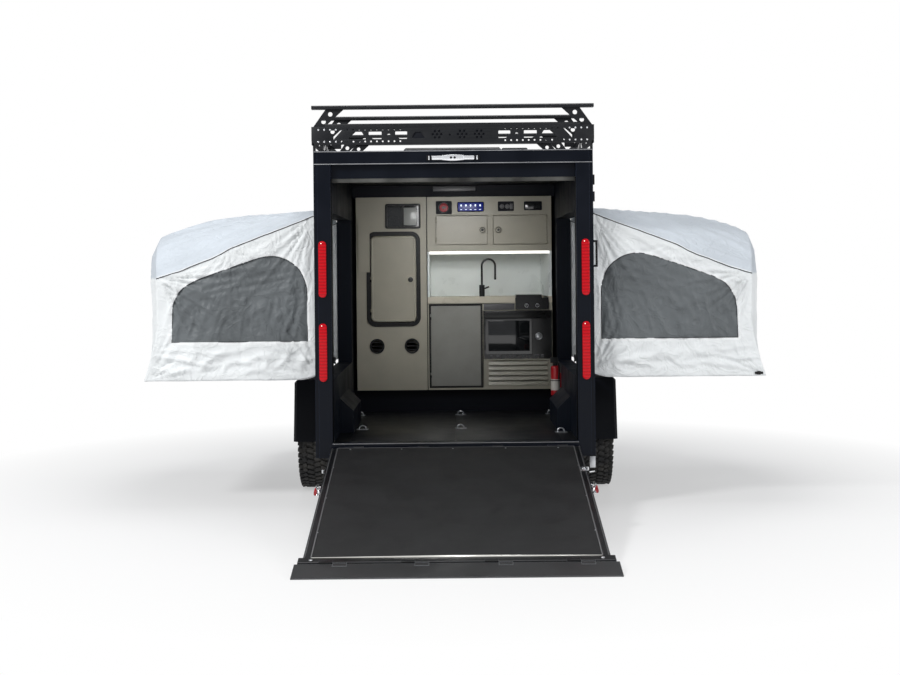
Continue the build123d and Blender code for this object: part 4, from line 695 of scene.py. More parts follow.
@dataclass
class Shell:
    """The body's box: panels, frame, seals and the small fittings on them."""

    header_low: float = 2.448
    opening_half: float = 0.868
    sill_half: float = 0.87
    edge_depth: float = 0.004
    strip_top: float = 2.345
    strip_radius: float = 0.007
    seal_low: Point = (-0.866, 0.045, 2.318)
    seal_high: Point = (0.866, 0.057, 2.35)
    bolts: int = 5
    bolt_inset: float = 0.12
    bolt_rise: float = 0.012
    bolt_radius: float = 0.008

    finishes: dict[str, Finish] = field(default_factory=lambda: {
        "floor_deck": Paint.floor, "front_wall": Paint.inner, "roof_panel": Paint.body,
        "side_wall_left": Paint.inner, "side_wall_right": Paint.inner, "rear_frame": Paint.frame_coat,
        "wheel_wells": Paint.inner, "chassis_frame": Paint.chassis, "axle_beam": Paint.chassis,
        "coupler": Paint.chassis, "jack_tube": Paint.zinc, "jack_leg": Paint.zinc,
        "gas_bottles": Paint.bottle, "fender_left": Paint.fender, "fender_right": Paint.fender,
        "bed_platform_left": Paint.body, "bed_platform_right": Paint.body,
        "floor_tie_downs": Paint.zinc, "body_fittings": Paint.trim, "roof_vent": Paint.vent,
        "load_bars": Paint.rack,
    })

    def build(self) -> None:
        """Dress the panels and add the fittings."""
        for node, finish in self.finishes.items():
            dress(node, finish)
        self._header_lines()
        self._brush_seal()
        self._post_strips()
        self._fender_bolts()

    def _header_lines(self) -> None:
        """Thin grey strips along the header and the sill that paint the highlights on their edges."""
        part = Part("header_edges")
        header = BODY_HALF - 0.004
        for half, z, rise, soft in ((header, BODY_TOP - 0.004, 0.003, 0.0012),
                                    (header, self.header_low, 0.003, 0.0012),
                                    (self.sill_half, FLOOR_TOP, 0.002, 0.0008)):
            # Each strip is a painted highlight on an edge.
            part.block((-half, REAR_FACE - self.edge_depth, z - rise), (half, REAR_FACE, z + rise), soft)
        part.finish(Paint.line)

    def _brush_seal(self) -> None:
        """The fuzzy seal that hangs at the top of the ramp opening."""
        part = Part("header_seal")
        rear = Vector((0, REAR_FACE, 0))
        part.block(rear + Vector(self.seal_low), rear + Vector(self.seal_high), 0.003)
        part.finish(Paint.seal)

    def _post_strips(self) -> None:
        """Rubber strips inside both posts."""
        part = Part("post_strips")
        y = REAR_FACE + 0.02
        for side in (-1, 1):
            x = side * self.opening_half
            part.rod((x, y, FLOOR_TOP + 0.01), (x, y, self.strip_top), self.strip_radius, sides=12)
        part.finish(Paint.trim, look=Look.SMOOTH)

    def _fender_bolts(self) -> None:
        """Bolt heads along the fenders' flat edges on the body's side."""
        part = Part("fender_bolts")
        low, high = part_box("fender_right")
        pitch = (high.y - low.y - 2 * self.bolt_inset) / (self.bolts - 1)
        z = high.z + self.bolt_rise
        for side in (-1, 1):
            for index in range(self.bolts):
                x, y = side * BODY_HALF, low.y + self.bolt_inset + index * pitch
                part.rod((x, y, z), (x + side * 0.005, y, z), self.bolt_radius, sides=6, soft=0.001)
        part.finish(Paint.zinc)


def dress(node: str, finish: object) -> None:
    """Give a CAD node's object a finish in every material slot."""
    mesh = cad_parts[node].data
    mesh.materials.clear()
    mesh.materials.append(finish.material())


@dataclass
class Lamps:
    """The four red tail lamps and the lamp bar on the header."""

    centre_x: float = 0.931
    half_width: float = 0.023
    depth: float = 0.012
    spans: tuple[Pair, ...] = ((1.51, 1.9), (0.915, 1.317))
    bar_half: Point = (0.15, 0.022, 0.014)
    swell: tuple[Pair, ...] = ((-0.075, -0.014), (-0.02, -0.019), (0.02, -0.019), (0.075, -0.014),
                               (0.075, 0.014), (0.02, 0.02), (-0.02, 0.02), (-0.075, 0.014))
    screws: Pair = (-0.014, 0.012)
    screw_radius: float = 0.0085

    def build(self) -> None:
        """Make the lenses, the bar and its end pieces."""
        self._lenses()
        low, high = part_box("header_lamp")
        self.middle = (low.z + high.z) / 2 + 0.001
        self._bar()
        self._bar_ends()

    def _lenses(self) -> None:
        """The red lenses and a painted glint, a small glowing white spot, at each one's tip."""
        part, tips = Part("tail_lamp_lenses"), Part("tail_lamp_tips")
        w, face = self.half_width, REAR_FACE - self.depth
        for side in (-1, 1):
            x = side * self.centre_x
            for low, high in self.spans:
                outline = rounded(x - w, x + w, low, high, w - 0.001, 8)
                part.plate(outline, [], self.depth, facing_rear(REAR_FACE - self.depth / 2), 0.005)
                # A small glowing ball paints the white glint on each lens's tip.
                tips.ball((x - 0.008, face + 0.0015, high - 0.012), 0.006, (1, 0.3, 1))
        part.finish(Lens(), stands_for=["tail_lamps"])
        tips.finish(Paint.strip, look=Look.SMOOTH)

    def _bar(self) -> None:
        """The header's lamp bar, which swells towards its middle."""
        half, depth, rise = self.bar_half
        y, low, high = REAR_FACE, self.middle - rise, self.middle + rise
        bar = Part("header_bar")
        bar.block((-half, y - depth, low), (half, y, high), 0.004)
        bar.plate([(x, self.middle + z) for x, z in self.swell], [], 0.026, facing_rear(y - 0.014), 0.002)
        for x in (-0.17, 0.17):
            bar.block((x - 0.004, y - 0.018, low), (x + 0.004, y, high), 0.001)
        # The bar's glow is a painted highlight.
        bar.finish(Paint.bright, stands_for=["header_lamp"])

    def _bar_ends(self) -> None:
        """The bar's screws and dark end blocks."""
        dots = Part("header_bar_screws")
        y, middle = REAR_FACE, self.middle
        for x in self.screws:
            dots.rod((x, y - 0.029, middle), (x, y - 0.02, middle), self.screw_radius, sides=16, soft=0.001)
        for x0, x1 in ((-0.186, -0.158), (0.158, 0.186)):
            dots.block((x0, y - 0.008, middle - 0.017), (x1, y, middle + 0.017), 0.002)
        dots.finish(Paint.trim)


@dataclass
class RampDoor:
    """The lowered ramp: deck sheet, rails, end bar, flap, screws and latches."""

    slope: float = math.radians(11.903)
    hinge_back: float = 0.024
    hinge_z: float = 0.447
    top_screws: tuple[float, ...] = (-0.74, -0.38, -0.02, 0.35, 0.72)
    side_screws: tuple[float, ...] = (-0.4, -0.95, -1.5)
    screw_x: float = 0.83
    screw_radius: float = 0.006
    end_bolt_y: float = -1.894
    sheet_end: float = -1.858
    sheet_start: float = -0.02
    strip_x: float = 0.832
    rail_x: float = 0.868
    strip_height: float = 0.003
    end_half: float = 0.903
    lip_y: float = -1.862
    lip_radius: float = 0.002
    lip_middle: float = 0.0085
    latch_x: float = 0.888
    latch_line: tuple[Point, ...] = ((0.0, -0.70, -0.014), (0.018, -0.73, 0.006), (0.018, -0.79, 0.012),
                                     (0.0, -0.83, -0.002), (0.0, -0.86, -0.02))
    pivots: Pair = (-0.72, -0.84)

    finishes: dict[str, Finish] = field(default_factory=lambda: {
        "ramp_frame": Paint.ramp, "ramp_deck": Paint.deck, "ramp_flap": Paint.flap,
        "ramp_latch_brackets": Paint.chrome, "ramp_latch_handles": Paint.red,
    })

    def build(self) -> None:
        """Dress the ramp's nodes and add its screws, strips of painted highlight and latches."""
        for node, finish in self.finishes.items():
            dress(node, finish)
        self.hinge = Vector((0.0, REAR_FACE - self.hinge_back, self.hinge_z))
        self._screws()
        self._edges()
        self._lips()
        self._hardware()
        self._latches()

    def place(self) -> Matrix:
        """From a flat ramp behind its hinge, with +Y up the ramp, to the ramp as it lies."""
        return Matrix.Translation(self.hinge) @ Matrix.Rotation(self.slope, 4, "X")

    def _lay(self, part: Part, finish: Finish, look: Look = Look.SOFT) -> None:
        """Lay a piece drawn on the flat ramp where it belongs."""
        part.move(self.place())
        part.finish(finish, "ramp", look=look)

    def _screws(self) -> None:
        """Screw heads along the deck sheet, and a bolt at each end of the end bar."""
        part = Part("ramp_screws")
        sides = (-self.screw_x, self.screw_x)
        heads = [(x, -0.045) for x in self.top_screws] + [(x, y) for x in sides for y in self.side_screws]
        for x, y in heads:
            part.rod((x, y, 0.0), (x, y, 0.002), self.screw_radius, sides=12, soft=0.0008)
        for x in sides:
            part.rod((x, self.end_bolt_y, 0.0), (x, self.end_bolt_y, 0.005), 0.012, sides=6, soft=0.001)
        self._lay(part, Paint.zinc)

    def _edges(self) -> None:
        """Grey strips round the deck sheet that paint the highlight lines on the rails and the end bar."""
        part = Part("ramp_edge_strips")
        start, end, top = self.sheet_start, self.sheet_end, self.strip_height
        for side in (-1, 1):
            for middle, half in ((self.strip_x, 0.004), (self.rail_x, 0.0025)):
                x = side * middle
                part.block((x - half, end, 0.0), (x + half, start, top), 0.001)
        part.block((-self.strip_x, start, 0.0), (self.strip_x, start + 0.0035, top), 0.001)
        part.block((-self.end_half, -1.926, -0.004), (self.end_half, -1.922, 0.0025), 0.001)
        # The grey strips are painted highlights.
        self._lay(part, Paint.grey_strip)

    def _lips(self) -> None:
        """A bright rod along the end bar's lip, thicker in the middle, and a grey rod along the flap's end
        edge, both painted highlights.
        """
        lip = Part("ramp_end_lip")
        for side in (-1, 1):
            lip.rod((side * self.screw_x, self.lip_y, 0.002), (0.0, self.lip_y, 0.002), self.lip_radius,
                    tip=self.lip_middle, sides=12)
        self._lay(lip, Paint.lip, Look.SMOOTH)
        # A grey rod paints the highlight along the flap's end edge.
        edge = Part("flap_end_edge")
        low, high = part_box("ramp_flap")
        y, z = low.y + 0.004, 0.0034
        edge.rod((low.x + 0.01, y, z), (high.x - 0.01, y, z), 0.0032, sides=10)
        edge.finish(Paint.line, "flap", look=Look.SMOOTH)

    def _hardware(self) -> None:
        """Zinc fittings on both rails, and the stop plate under the right post."""
        part = Part("ramp_rail_fittings")
        for x, y in ((-0.893, -0.45), (0.886, -0.44)):
            part.rod((x, y, -0.02), (x, y, 0.004), 0.011, sides=6, soft=0.001)
        part.block((0.834, -0.51, 0.0), (0.878, -0.44, 0.004), 0.0015)
        part.ring((0.858, -0.475, 0.006), (0, 0, 1), 0.012, 0.003, 24)
        part.rod((0.89, -0.53, 0.0), (0.925, -0.515, 0.0), 0.005, sides=12)
        self._lay(part, Paint.zinc)
        stop = Part("post_stop_plate")
        stop.block((0.948, REAR_FACE, 0.285), (0.988, REAR_FACE + 0.005, 0.365), 0.002)
        stop.finish(Paint.zinc)

    def _latches(self) -> None:
        """Bright hooks and links beside the red grips."""
        part = Part("ramp_latch_hooks")
        for side in (-1, 1):
            line = [(side * (self.latch_x + out), y, z) for out, y, z in self.latch_line]
            part.pipe(line, 0.006)
            for y in self.pivots:
                part.rod((side * 0.878, y, -0.025), (side * 0.9, y, -0.025), 0.014, sides=16, soft=0.002)
        self._lay(part, Paint.chrome)


@dataclass
class RoofRack:
    """The perforated fence round the roof, with its top tubes, feet and small round holes."""

    sheet: float = 0.006
    hole: float = 0.0068
    pitch: float = 0.0414
    corner: float = 0.026
    tube: float = 0.02
    tube_half: float = 0.905
    plate_low: float = 2.586
    bays: int = 4
    foot: float = 0.14
    feet: tuple[float, ...] = (0.04, 1.45, 2.72)
    row_start: float = 0.951
    row_in: float = 0.021
    screws: int = 4
    row_end: int = 15
    end_cuts: tuple[tuple[float, float, float, str], ...] = (
        (0.365, 0.085, 0.42, "clipped"), (0.549, 0.092, 0.42, "clipped"),
        (0.676, 0.127, 0.42, "trapezium"), (0.826, 0.082, 0.58, "triangle"))
    side_cuts: tuple[tuple[float, float, float, str], ...] = (
        (0.062, 0.085, 0.42, "clipped"), (0.178, 0.116, 0.42, "trapezium"),
        (0.270, 0.048, 0.52, "triangle"))
    clusters: tuple[float, ...] = (-0.11, 0.067, 0.187)
    cluster: tuple[Pair, ...] = ((-0.03, 0.004), (0.0, 0.004), (0.03, 0.004), (-0.015, -0.018),
                                 (0.015, -0.018), (-0.015, 0.026), (0.015, 0.026))

    def build(self) -> None:
        """Make the fence as one piece and add its screws."""
        low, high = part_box("rack_panels")
        self.half, self.rear, self.front, self.high = high.x, low.y, high.y, high.z - self.tube
        self.middle = (self.plate_low + self.high) / 2
        part = Part("rack_fence")
        for y in (self.rear + self.sheet / 2, self.front - self.sheet / 2):
            part.plate(self._end_outline(), self._end_holes(), self.sheet, facing_rear(y))
        for side in (-1, 1):
            turn = Matrix.Translation((side * (self.half - self.sheet / 2), 0, 0)) @ Matrix.Rotation(
                math.pi / 2, 4, "Z") @ Matrix.Rotation(math.pi / 2, 4, "X")
            part.plate(self._side_outline(), self._side_holes(), self.sheet, turn)
        self._tubes(part)
        self._feet(part)
        part.finish(Paint.rack, stands_for=["rack_panels"])
        self._backing()
        self._screws()
        dress("load_bars", Paint.rack)

    def _rows(self) -> Pair:
        """The heights of an end panel's two rows of holes."""
        return self.high - self.row_in, self.plate_low + self.row_in

    def _end_outline(self) -> list[Pair]:
        """An end panel's edge, with clipped lower corners."""
        c, h, low = self.corner, self.half - 0.0002, self.plate_low
        return [(-h, self.high), (-h, low + c), (c - h, low), (h - c, low), (h, low + c), (h, self.high)]

    def _side_outline(self) -> list[Pair]:
        """A side panel's edge, between the end panels."""
        rear, front = self.rear + self.sheet, self.front - self.sheet
        return [(rear, self.plate_low), (front, self.plate_low), (front, self.high), (rear, self.high)]

    def _cut(self, centre: float, width: float, share: float, kind: str, side: int) -> list[Pair]:
        """One cut-out's edge, mirrored where side is -1."""
        height = (self.high - self.plate_low) * share
        half, rise, slant = width / 2, height / 2, height * 0.6
        if kind == "clipped":
            edge = [(-half, rise), (half, rise), (half, 0.0), (half - slant, -rise), (-half, -rise)]
        elif kind == "trapezium":
            edge = [(slant - half, rise), (half - slant, rise), (half, -rise), (-half, -rise)]
        else:
            edge = [(-half, rise), (half, rise), (half, 0.0), (half - slant / 3, -rise)]
        soft = softened(edge, 0.006)
        return [(side * (centre + x), self.middle + z) for x, z in soft]

    def _end_holes(self) -> list[list[Pair]]:
        """An end panel's screw holes and cut-outs."""
        shapes: list[list[Pair]] = []
        for side in (-1, 1):
            for index in range(self.screws, self.row_end):
                x = side * (self.row_start - index * self.pitch)
                shapes += [circle(x, z, self.hole, 10) for z in self._rows()]
            shapes += [self._cut(*cut, side) for cut in self.end_cuts]
            x = side * 0.452
            shapes.append(rounded(x - 0.011, x + 0.011, self.middle - 0.011, self.middle + 0.011, 0.008))
        for x in self.clusters:
            shapes += [circle(x + dx, self.middle + dz, 0.0105, 6) for dx, dz in self.cluster]
        shapes.append(self._cut(0.245, 0.1, 0.36, "trapezium", -1))
        shapes.append(circle(-0.02, self.middle, 0.009, 8))
        return shapes

    def _side_holes(self) -> list[list[Pair]]:
        """A side panel's holes and cut-outs, bay by bay."""
        bay = (self.front - self.rear - 2 * self.sheet) / self.bays
        shapes: list[list[Pair]] = []
        for index in range(self.bays):
            centre = self.rear + self.sheet + (index + 0.5) * bay
            for side in (-1, 1):
                for cut in self.side_cuts:
                    shapes.append([(centre + x, z) for x, z in self._cut(*cut, side)])
            for step in range(15):
                y = centre + (step - 7) * self.pitch
                rows = (self.plate_low + 0.018, self.high - self.row_in)
                shapes += [circle(y, z, self.hole, 10) for z in rows]
        return shapes

    def _tubes(self, part: Part) -> None:
        """The square tube along the top of both end panels."""
        for y in (self.rear, self.front - self.tube):
            low, high = Vector((-self.tube_half, y, self.high)), Vector((self.tube_half, y, self.high))
            part.block(low, high + Vector((0, self.tube, self.tube)), 0.004)

    def _feet(self, part: Part) -> None:
        """Folded feet on the roof's edges."""
        inner = self.half - self.sheet
        for start in self.feet:
            y = REAR_FACE + start
            for side in (-1, 1):
                x0, x1 = sorted((side * (BODY_HALF - 0.04), side * inner))
                part.block((x0, y, BODY_TOP), (x1, y + self.foot, BODY_TOP + self.sheet), 0.001)
                wall, half = side * (inner - self.sheet / 2), self.sheet / 2
                top = self.plate_low + 0.04
                part.block((wall - half, y, BODY_TOP), (wall + half, y + self.foot, top), 0.001)

    def _backing(self) -> None:
        """The dark sheet behind the middle of both end panels."""
        part = Part("rack_backing")
        for y in (self.rear + self.sheet + 0.002, self.front - self.sheet - 0.002):
            part.block((-0.31, y - 0.001, self.plate_low + 0.004), (0.3, y + 0.001, self.high - 0.012),
                       0.0004)
        part.finish(Paint.filler)

    def _screws(self) -> None:
        """Button-head screws in both rows of the rear panel's corners, whose glowing finish paints their
        glint.
        """
        part = Part("rack_screws")
        for side in (-1, 1):
            for index in range(self.screws):
                x = side * (self.row_start - index * self.pitch)
                for z in self._rows():
                    part.rod((x, self.rear + 0.001, z), (x, self.rear - 0.0008, z), 0.0062, sides=12,
                             soft=0.0006)
        # The glowing finish paints the screws' glint.
        part.finish(Paint.bright)


def softened(points: Sequence[Pair], reach: float) -> list[Pair]:
    """An outline whose corners are cut back along a short curve."""
    result: list[Pair] = []
    for index, corner in enumerate(points):
        before, after = Vector(points[index - 1]), Vector(points[(index + 1) % len(points)])
        middle = Vector(corner)
        start = middle + (before - middle).normalized() * min(reach, (before - middle).length / 2.2)
        end = middle + (after - middle).normalized() * min(reach, (after - middle).length / 2.2)
        for t in (0.0, 0.33, 0.67, 1.0):
            result.append(tuple(start * (1 - t) ** 2 + middle * 2 * t * (1 - t) + end * t**2))
    return result


@dataclass(frozen=True)
class Fan:
    """Folds that fan out of a point: where it is, how far they reach, how deep and how many they are."""

    x: float
    z: float
    reach: float
    depth: float
    count: float


def fold(value: float) -> float:
    """A sharp-crested fold from smooth noise, between about 0 and 1."""
    return max(0.0, 1 - abs(value) * 2.8) ** 1.4


@dataclass
class Tent:
    """One side's tent over its fold-out bed: canvas, windows, piping, hem and buckle."""

    side: int
    name: str
    wall: float = 0.9904
    bottom: float = 0.912
    columns: int = 120
    rows: int = 72
    steps: int = 110
    end_reach: float = 1.148
    ridge_reach: float = 1.275
    eave_low: float = 1.652
    ridge_low: float = 1.972
    roundness: float = 1.7
    fold_share: float = 0.4
    cut_width: float = 2.6
    cut_spare: float = 1.25

    eave: tuple[Pair, ...] = (
        (0.0, 2.098), (0.2, 2.02), (0.378, 1.955), (0.47, 1.919), (0.616, 1.863), (0.7, 1.815),
        (0.76, 1.788),
        (0.845, 1.757), (0.982, 1.702), (1.148, 1.652))
    ridge: tuple[Pair, ...] = ((0.0, 2.162), (0.3, 2.138), (0.62, 2.122), (0.87, 2.09),
                                              (1.06, 2.05), (1.2, 2.008), (1.275, 1.972))
    end_edge: tuple[Pair, ...] = ((1.655, 1.148), (1.45, 1.146), (1.3, 1.142), (1.18, 1.165),
                                                 (1.05, 1.2), (0.912, 1.238))
    ridge_edge: tuple[Pair, ...] = ((1.972, 1.275), (1.87, 1.325), (1.66, 1.343), (1.4, 1.325),
                                                   (1.15, 1.285), (0.912, 1.25))
    window: tuple[Pair, ...] = (
        (0.066, 1.19), (0.066, 1.5), (0.08, 1.612), (0.122, 1.703), (0.2, 1.768), (0.29, 1.799),
        (0.385, 1.795), (0.51, 1.758), (0.71, 1.688), (0.85, 1.638), (0.95, 1.583), (1.008, 1.51),
        (1.034, 1.41), (1.042, 1.19))
    fans: tuple[Fan, ...] = (
        Fan(1.15, 1.66, 0.4, 0.02, 6.0), Fan(0.0, 2.1, 0.5, 0.018, 7.0), Fan(1.23, 0.92, 0.4, 0.014, 5.0),
        Fan(0.0, 0.95, 0.4, 0.012, 5.0), Fan(0.05, 1.6, 0.16, 0.012, 6.0), Fan(0.62, 1.87, 0.2, 0.012, 7.0))

    def build(self) -> None:
        """Make the tent's pieces."""
        low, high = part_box("tent_" + self.name)
        self.rear, self.front = low.y + 0.004, high.y - 0.004
        self.middle = (self.rear + self.front) / 2
        self.outline = smooth_outline(self.window)
        self._canvas()
        self._piping()
        if self.side > 0:
            self._buckle()

    def _canvas(self) -> None:
        """The whole canvas as one sheet: end walls, roof and far wall."""
        part = Part("tent_canvas_" + self.name)
        for y in (self.rear, self.front):
            self._grid(part, self.columns, self.rows, lambda s, t: self._end_point(s, t, y))
        self._grid(part, self.steps, self.columns, self._roof_point)
        self._grid(part, self.steps, self.rows, self._outer_point)
        canvas = part.finish(TentCloth(), look=Look.SMOOTH, stands_for=["tent_" + self.name], merge=0.0004)
        self._mark(canvas)
        wall = canvas.modifiers.new("thickness", "SOLIDIFY")
        wall.thickness = 0.0012
        wall.offset = 0.0
        self._fold(canvas)

    def _grid(self, part: Part, across: int, up: int, place: Callable[[float, float], Vector]) -> None:
        """Add a grid of faces whose points are placed by a function of s and t."""
        made = bmesh.ops.create_grid(part.bm, x_segments=across, y_segments=up, size=0.5)["verts"]
        for vert in made:
            point = place(vert.co.x + 0.5, vert.co.y + 0.5)
            vert.co = (self.side * (self.wall + point.x), point.y, point.z)

    def _end_point(self, s: float, t: float, y: float) -> Vector:
        """A point of an end wall: s from the body outwards, t from the hem to the eave."""
        out = s * self.end_reach
        top = along(self.eave, out)
        hem = self.bottom + 0.03 * max(0.0, 1 - out / 0.1) ** 1.5
        hem += 0.004 * noise.noise((out * 5, self.side, y)) * (1 - s**8)
        z = hem + (top - hem) * t
        x = out * self._reach(self.end_edge, min(z, self.end_edge[0][0])) / self.end_reach
        border = min(1.0, 16 * s, 16 * (1 - s)) * min(1.0, 14 * t, 14 * (1 - t))
        outward = -1 if y < self.middle else 1
        ripple = 0.007 * noise.noise((z * 7, y, 3.0)) * s**6
        return Vector((x + ripple, y + outward * self._crease(x, z, y) * border, z))

    def _folds(self, place: Point) -> float:
        """Sharp folds at a place, about as far above 0 as below it."""
        return fold(noise.noise(place)) - self.fold_share

    def _reach(self, edge: Sequence[Pair], z: float) -> float:
        """How far out an edge, given from its top down, lies at a height."""
        return along(tuple((-height, out) for height, out in edge), -z)

    def _crease(self, x: float, z: float, y: float) -> float:
        """How far an end wall stands out: slack, folds that fan out of its corners, and sags."""
        seed = 3.1 * self.side + (7.0 if y > self.middle else 0.0)
        depth = depth_inside(self.outline, x, z)
        total = 0.012 * noise.noise((x * 2.4, z * 2.0, seed)) + 0.004 * noise.noise((x * 9, z * 6, seed + 2))
        for fan in self.fans:
            dx, dz = x - fan.x, z - fan.z
            distance = math.hypot(dx, dz) + 0.04
            ray = noise.noise((math.atan2(dz, dx) * fan.count, distance * 1.1, seed + fan.x * 5))
            fade = math.exp(-distance / fan.reach) * min(1.0, distance * 9)
            total += 2.1 * fan.depth * (fold(ray) - 0.35) * fade
        low = max(0.0, 1 - abs(z - 1.04) / 0.16)
        warp = 0.05 * noise.noise((x * 3, z * 3, seed + 8))
        total += 0.022 * low * self._folds((x * 2.2 + warp, (z + warp) * 15, seed + 4))
        total += 0.018 * low * self._folds((x * 6 + z * 5, z * 5 - x * 3, seed + 6))
        if depth > 0:
            upper = min(1.0, max(0.0, (z - 1.45) / 0.1))
            total += 0.012 * upper * self._folds((x * 1.6, (z + 0.2 * x) * 17, seed + 9))
            slack = (1 - upper) * min(1.0, depth * 12)
            total += 0.012 * slack * self._folds((x * 15 + z * 4, z * 3.5, seed + 11))
            total += 0.008 * slack * noise.noise((x * 24, z * 18, seed + 12))
        return total - 0.006 * math.exp(-((depth / 0.012) ** 2))

    def _roof_point(self, s: float, t: float) -> Vector:
        """A point of the roof: s from the rear end to the front end, t from the body to the eave."""
        u = 2 * s - 1
        share = 1 - abs(u) ** self.roundness
        low_x, high_x = self.end_reach * t, self.ridge_reach * t
        x = low_x + (high_x - low_x) * share
        low_z, high_z = along(self.eave, low_x), along(self.ridge, high_x)
        z = low_z + (high_z - low_z) * share
        y = self.rear + (self.front - self.rear) * s
        edge = min(1.0, 10 * min(s, 1 - s)) * min(1.0, 10 * min(t, 1 - t))
        wave = 0.012 * noise.noise((x * 2.0, y * 2.0, 5.5 * self.side))
        wave += 0.018 * self._folds((x * 1.3, y * 9 + x * 1.5, 2.0 * self.side))
        wave -= 0.018 * math.sin(math.pi * 2 * abs(u)) ** 2 * t
        return Vector((x, y, z + edge * wave))

    def _outer_point(self, s: float, t: float) -> Vector:
        """A point of the far wall: s from the rear end to the front end, t from the hem to the eave."""
        u = 2 * s - 1
        share = 1 - abs(u) ** self.roundness
        end_z = self.bottom + (self.eave_low - self.bottom) * t
        mid_z = self.bottom + (self.ridge_low - self.bottom) * t
        end_x, mid_x = self._reach(self.end_edge, end_z), self._reach(self.ridge_edge, mid_z)
        x = end_x + (mid_x - end_x) * share
        z = end_z + (mid_z - end_z) * share
        y = self.rear + (self.front - self.rear) * s
        edge = min(1.0, 8 * min(s, 1 - s)) * min(1.0, 8 * min(t, 1 - t))
        wave = 0.010 * noise.noise((y * 2.5, z * 2.5, 9.1 * self.side))
        wave += 0.009 * self._folds((y * 7, z * 2 + y, 1.0))
        ripple = 0.007 * noise.noise((z * 7, self.rear if u < 0 else self.front, 3.0)) * abs(u) ** 12
        return Vector((x + edge * wave + ripple, y, z))

    def _mark(self, canvas: bpy.types.Object) -> None:
        """Write each point's distance inside the window's edge, and whether it is on the roof."""
        mesh = canvas.data
        window = mesh.attributes.new("window", "FLOAT", "POINT")
        roof = mesh.attributes.new("roof", "FLOAT", "POINT")
        inside, above = [], []
        for vert in mesh.vertices:
            x, z = abs(vert.co.x) - self.wall, vert.co.z
            gap = min(vert.co.y - self.rear, self.front - vert.co.y)
            inside.append(depth_inside(self.outline, x, z) if gap < 0.05 and z < 1.9 else -1.0)
            over_eave = z > along(self.eave, min(max(x, 0.0), self.end_reach)) - 0.004
            above.append(1.0 if over_eave and gap > 0.006 and x < 1.33 and z > 1.64 else 0.0)
        window.data.foreach_set("value", inside)
        roof.data.foreach_set("value", above)

    def _piping(self) -> None:
        """The dark corded edge of both windows, and a dark cord along both eaves that paints the shadow gap
        under the roof's edge.
        """
        for label, y, outward in (("rear", self.rear, -1), ("front", self.front, 1)):
            part = Part(f"window_piping_{label}_{self.name}")
            points = []
            for x, z in self.outline:
                push = self._crease(x, z, y) + 0.001
                points.append((self.side * (self.wall + x), y + outward * push, z))
            part.pipe(points, 0.0036, closed=True, smooth=False, sides=2)
            # A dark cord along the eave paints the shadow gap under the roof's overhang.
            eave = []
            for step in range(41):
                point = self._end_point(step / 40, 0.995, y)
                lift = 0.003 * noise.noise((point.x * 14, self.side, y))
                eave.append((self.side * (self.wall + point.x), point.y + outward * 0.001, point.z + lift))
            part.pipe(eave, 0.0036, smooth=False, sides=2)
            self._fold(part.finish(Paint.piping, look=Look.SMOOTH))

    def _buckle(self) -> None:
        """The buckle that holds the hem's outer corner to the platform."""
        part = Part(f"hem_buckle_{self.name}")
        x = self.side * (self.wall + 1.19)
        y = self.rear - 0.005
        for half, deep, low, high in ((0.03, 0.004, 0.012, 0.03), (0.012, 0.006, 0.008, 0.034)):
            part.block((x - half, y - deep, self.bottom + low), (x + half, y + deep, self.bottom + high),
                       0.003)
        self._fold(part.finish(Paint.trim))

    def _fold(self, piece: bpy.types.Object) -> None:
        """Give a piece of the tent its own copy of its mesh."""
        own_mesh(piece)


def along(points: Sequence[Pair], x: float) -> float:
    """The height at x of straight runs through points."""
    if x <= points[0][0]:
        return points[0][1]
    for (x0, y0), (x1, y1) in zip(points, points[1:]):
        if x <= x1:
            return y0 + (y1 - y0) * (x - x0) / (x1 - x0)
    return points[-1][1]


def smooth_outline(points: Sequence[Pair], steps: int = 4) -> list[Pair]:
    """A closed outline through points: straight below, smooth between the others."""
    result = [points[0]]
    for index in range(1, len(points) - 2):
        before, start, end, after = points[index - 1:index + 3]
        for step in range(steps):
            t = step / steps
            result.append(tuple(spline(before[k], start[k], end[k], after[k], t) for k in (0, 1)))
    return result + [points[-2], points[-1]]


def spline(before: float, start: float, end: float, after: float, t: float) -> float:
    """A number on the smooth curve between start and end."""
    return 0.5 * (2 * start + (end - before) * t + (2 * before - 5 * start + 4 * end - after) * t**2
                  + (3 * start - before - 3 * end + after) * t**3)


def depth_inside(outline: Sequence[Pair], x: float, y: float) -> float:
    """How deep a point lies inside an outline, below 0 outside it."""
    nearest, inside = 1e9, False
    for (x0, y0), (x1, y1) in zip(outline, [*outline[1:], outline[0]]):
        dx, dy = x1 - x0, y1 - y0
        t = min(1.0, max(0.0, ((x - x0) * dx + (y - y0) * dy) / (dx * dx + dy * dy + 1e-12)))
        nearest = min(nearest, (x0 + t * dx - x) ** 2 + (y0 + t * dy - y) ** 2)
        if (y0 > y) != (y1 > y) and x < x0 + dx * (y - y0) / dy:
            inside = not inside
    return math.sqrt(nearest) * (1 if inside else -1)


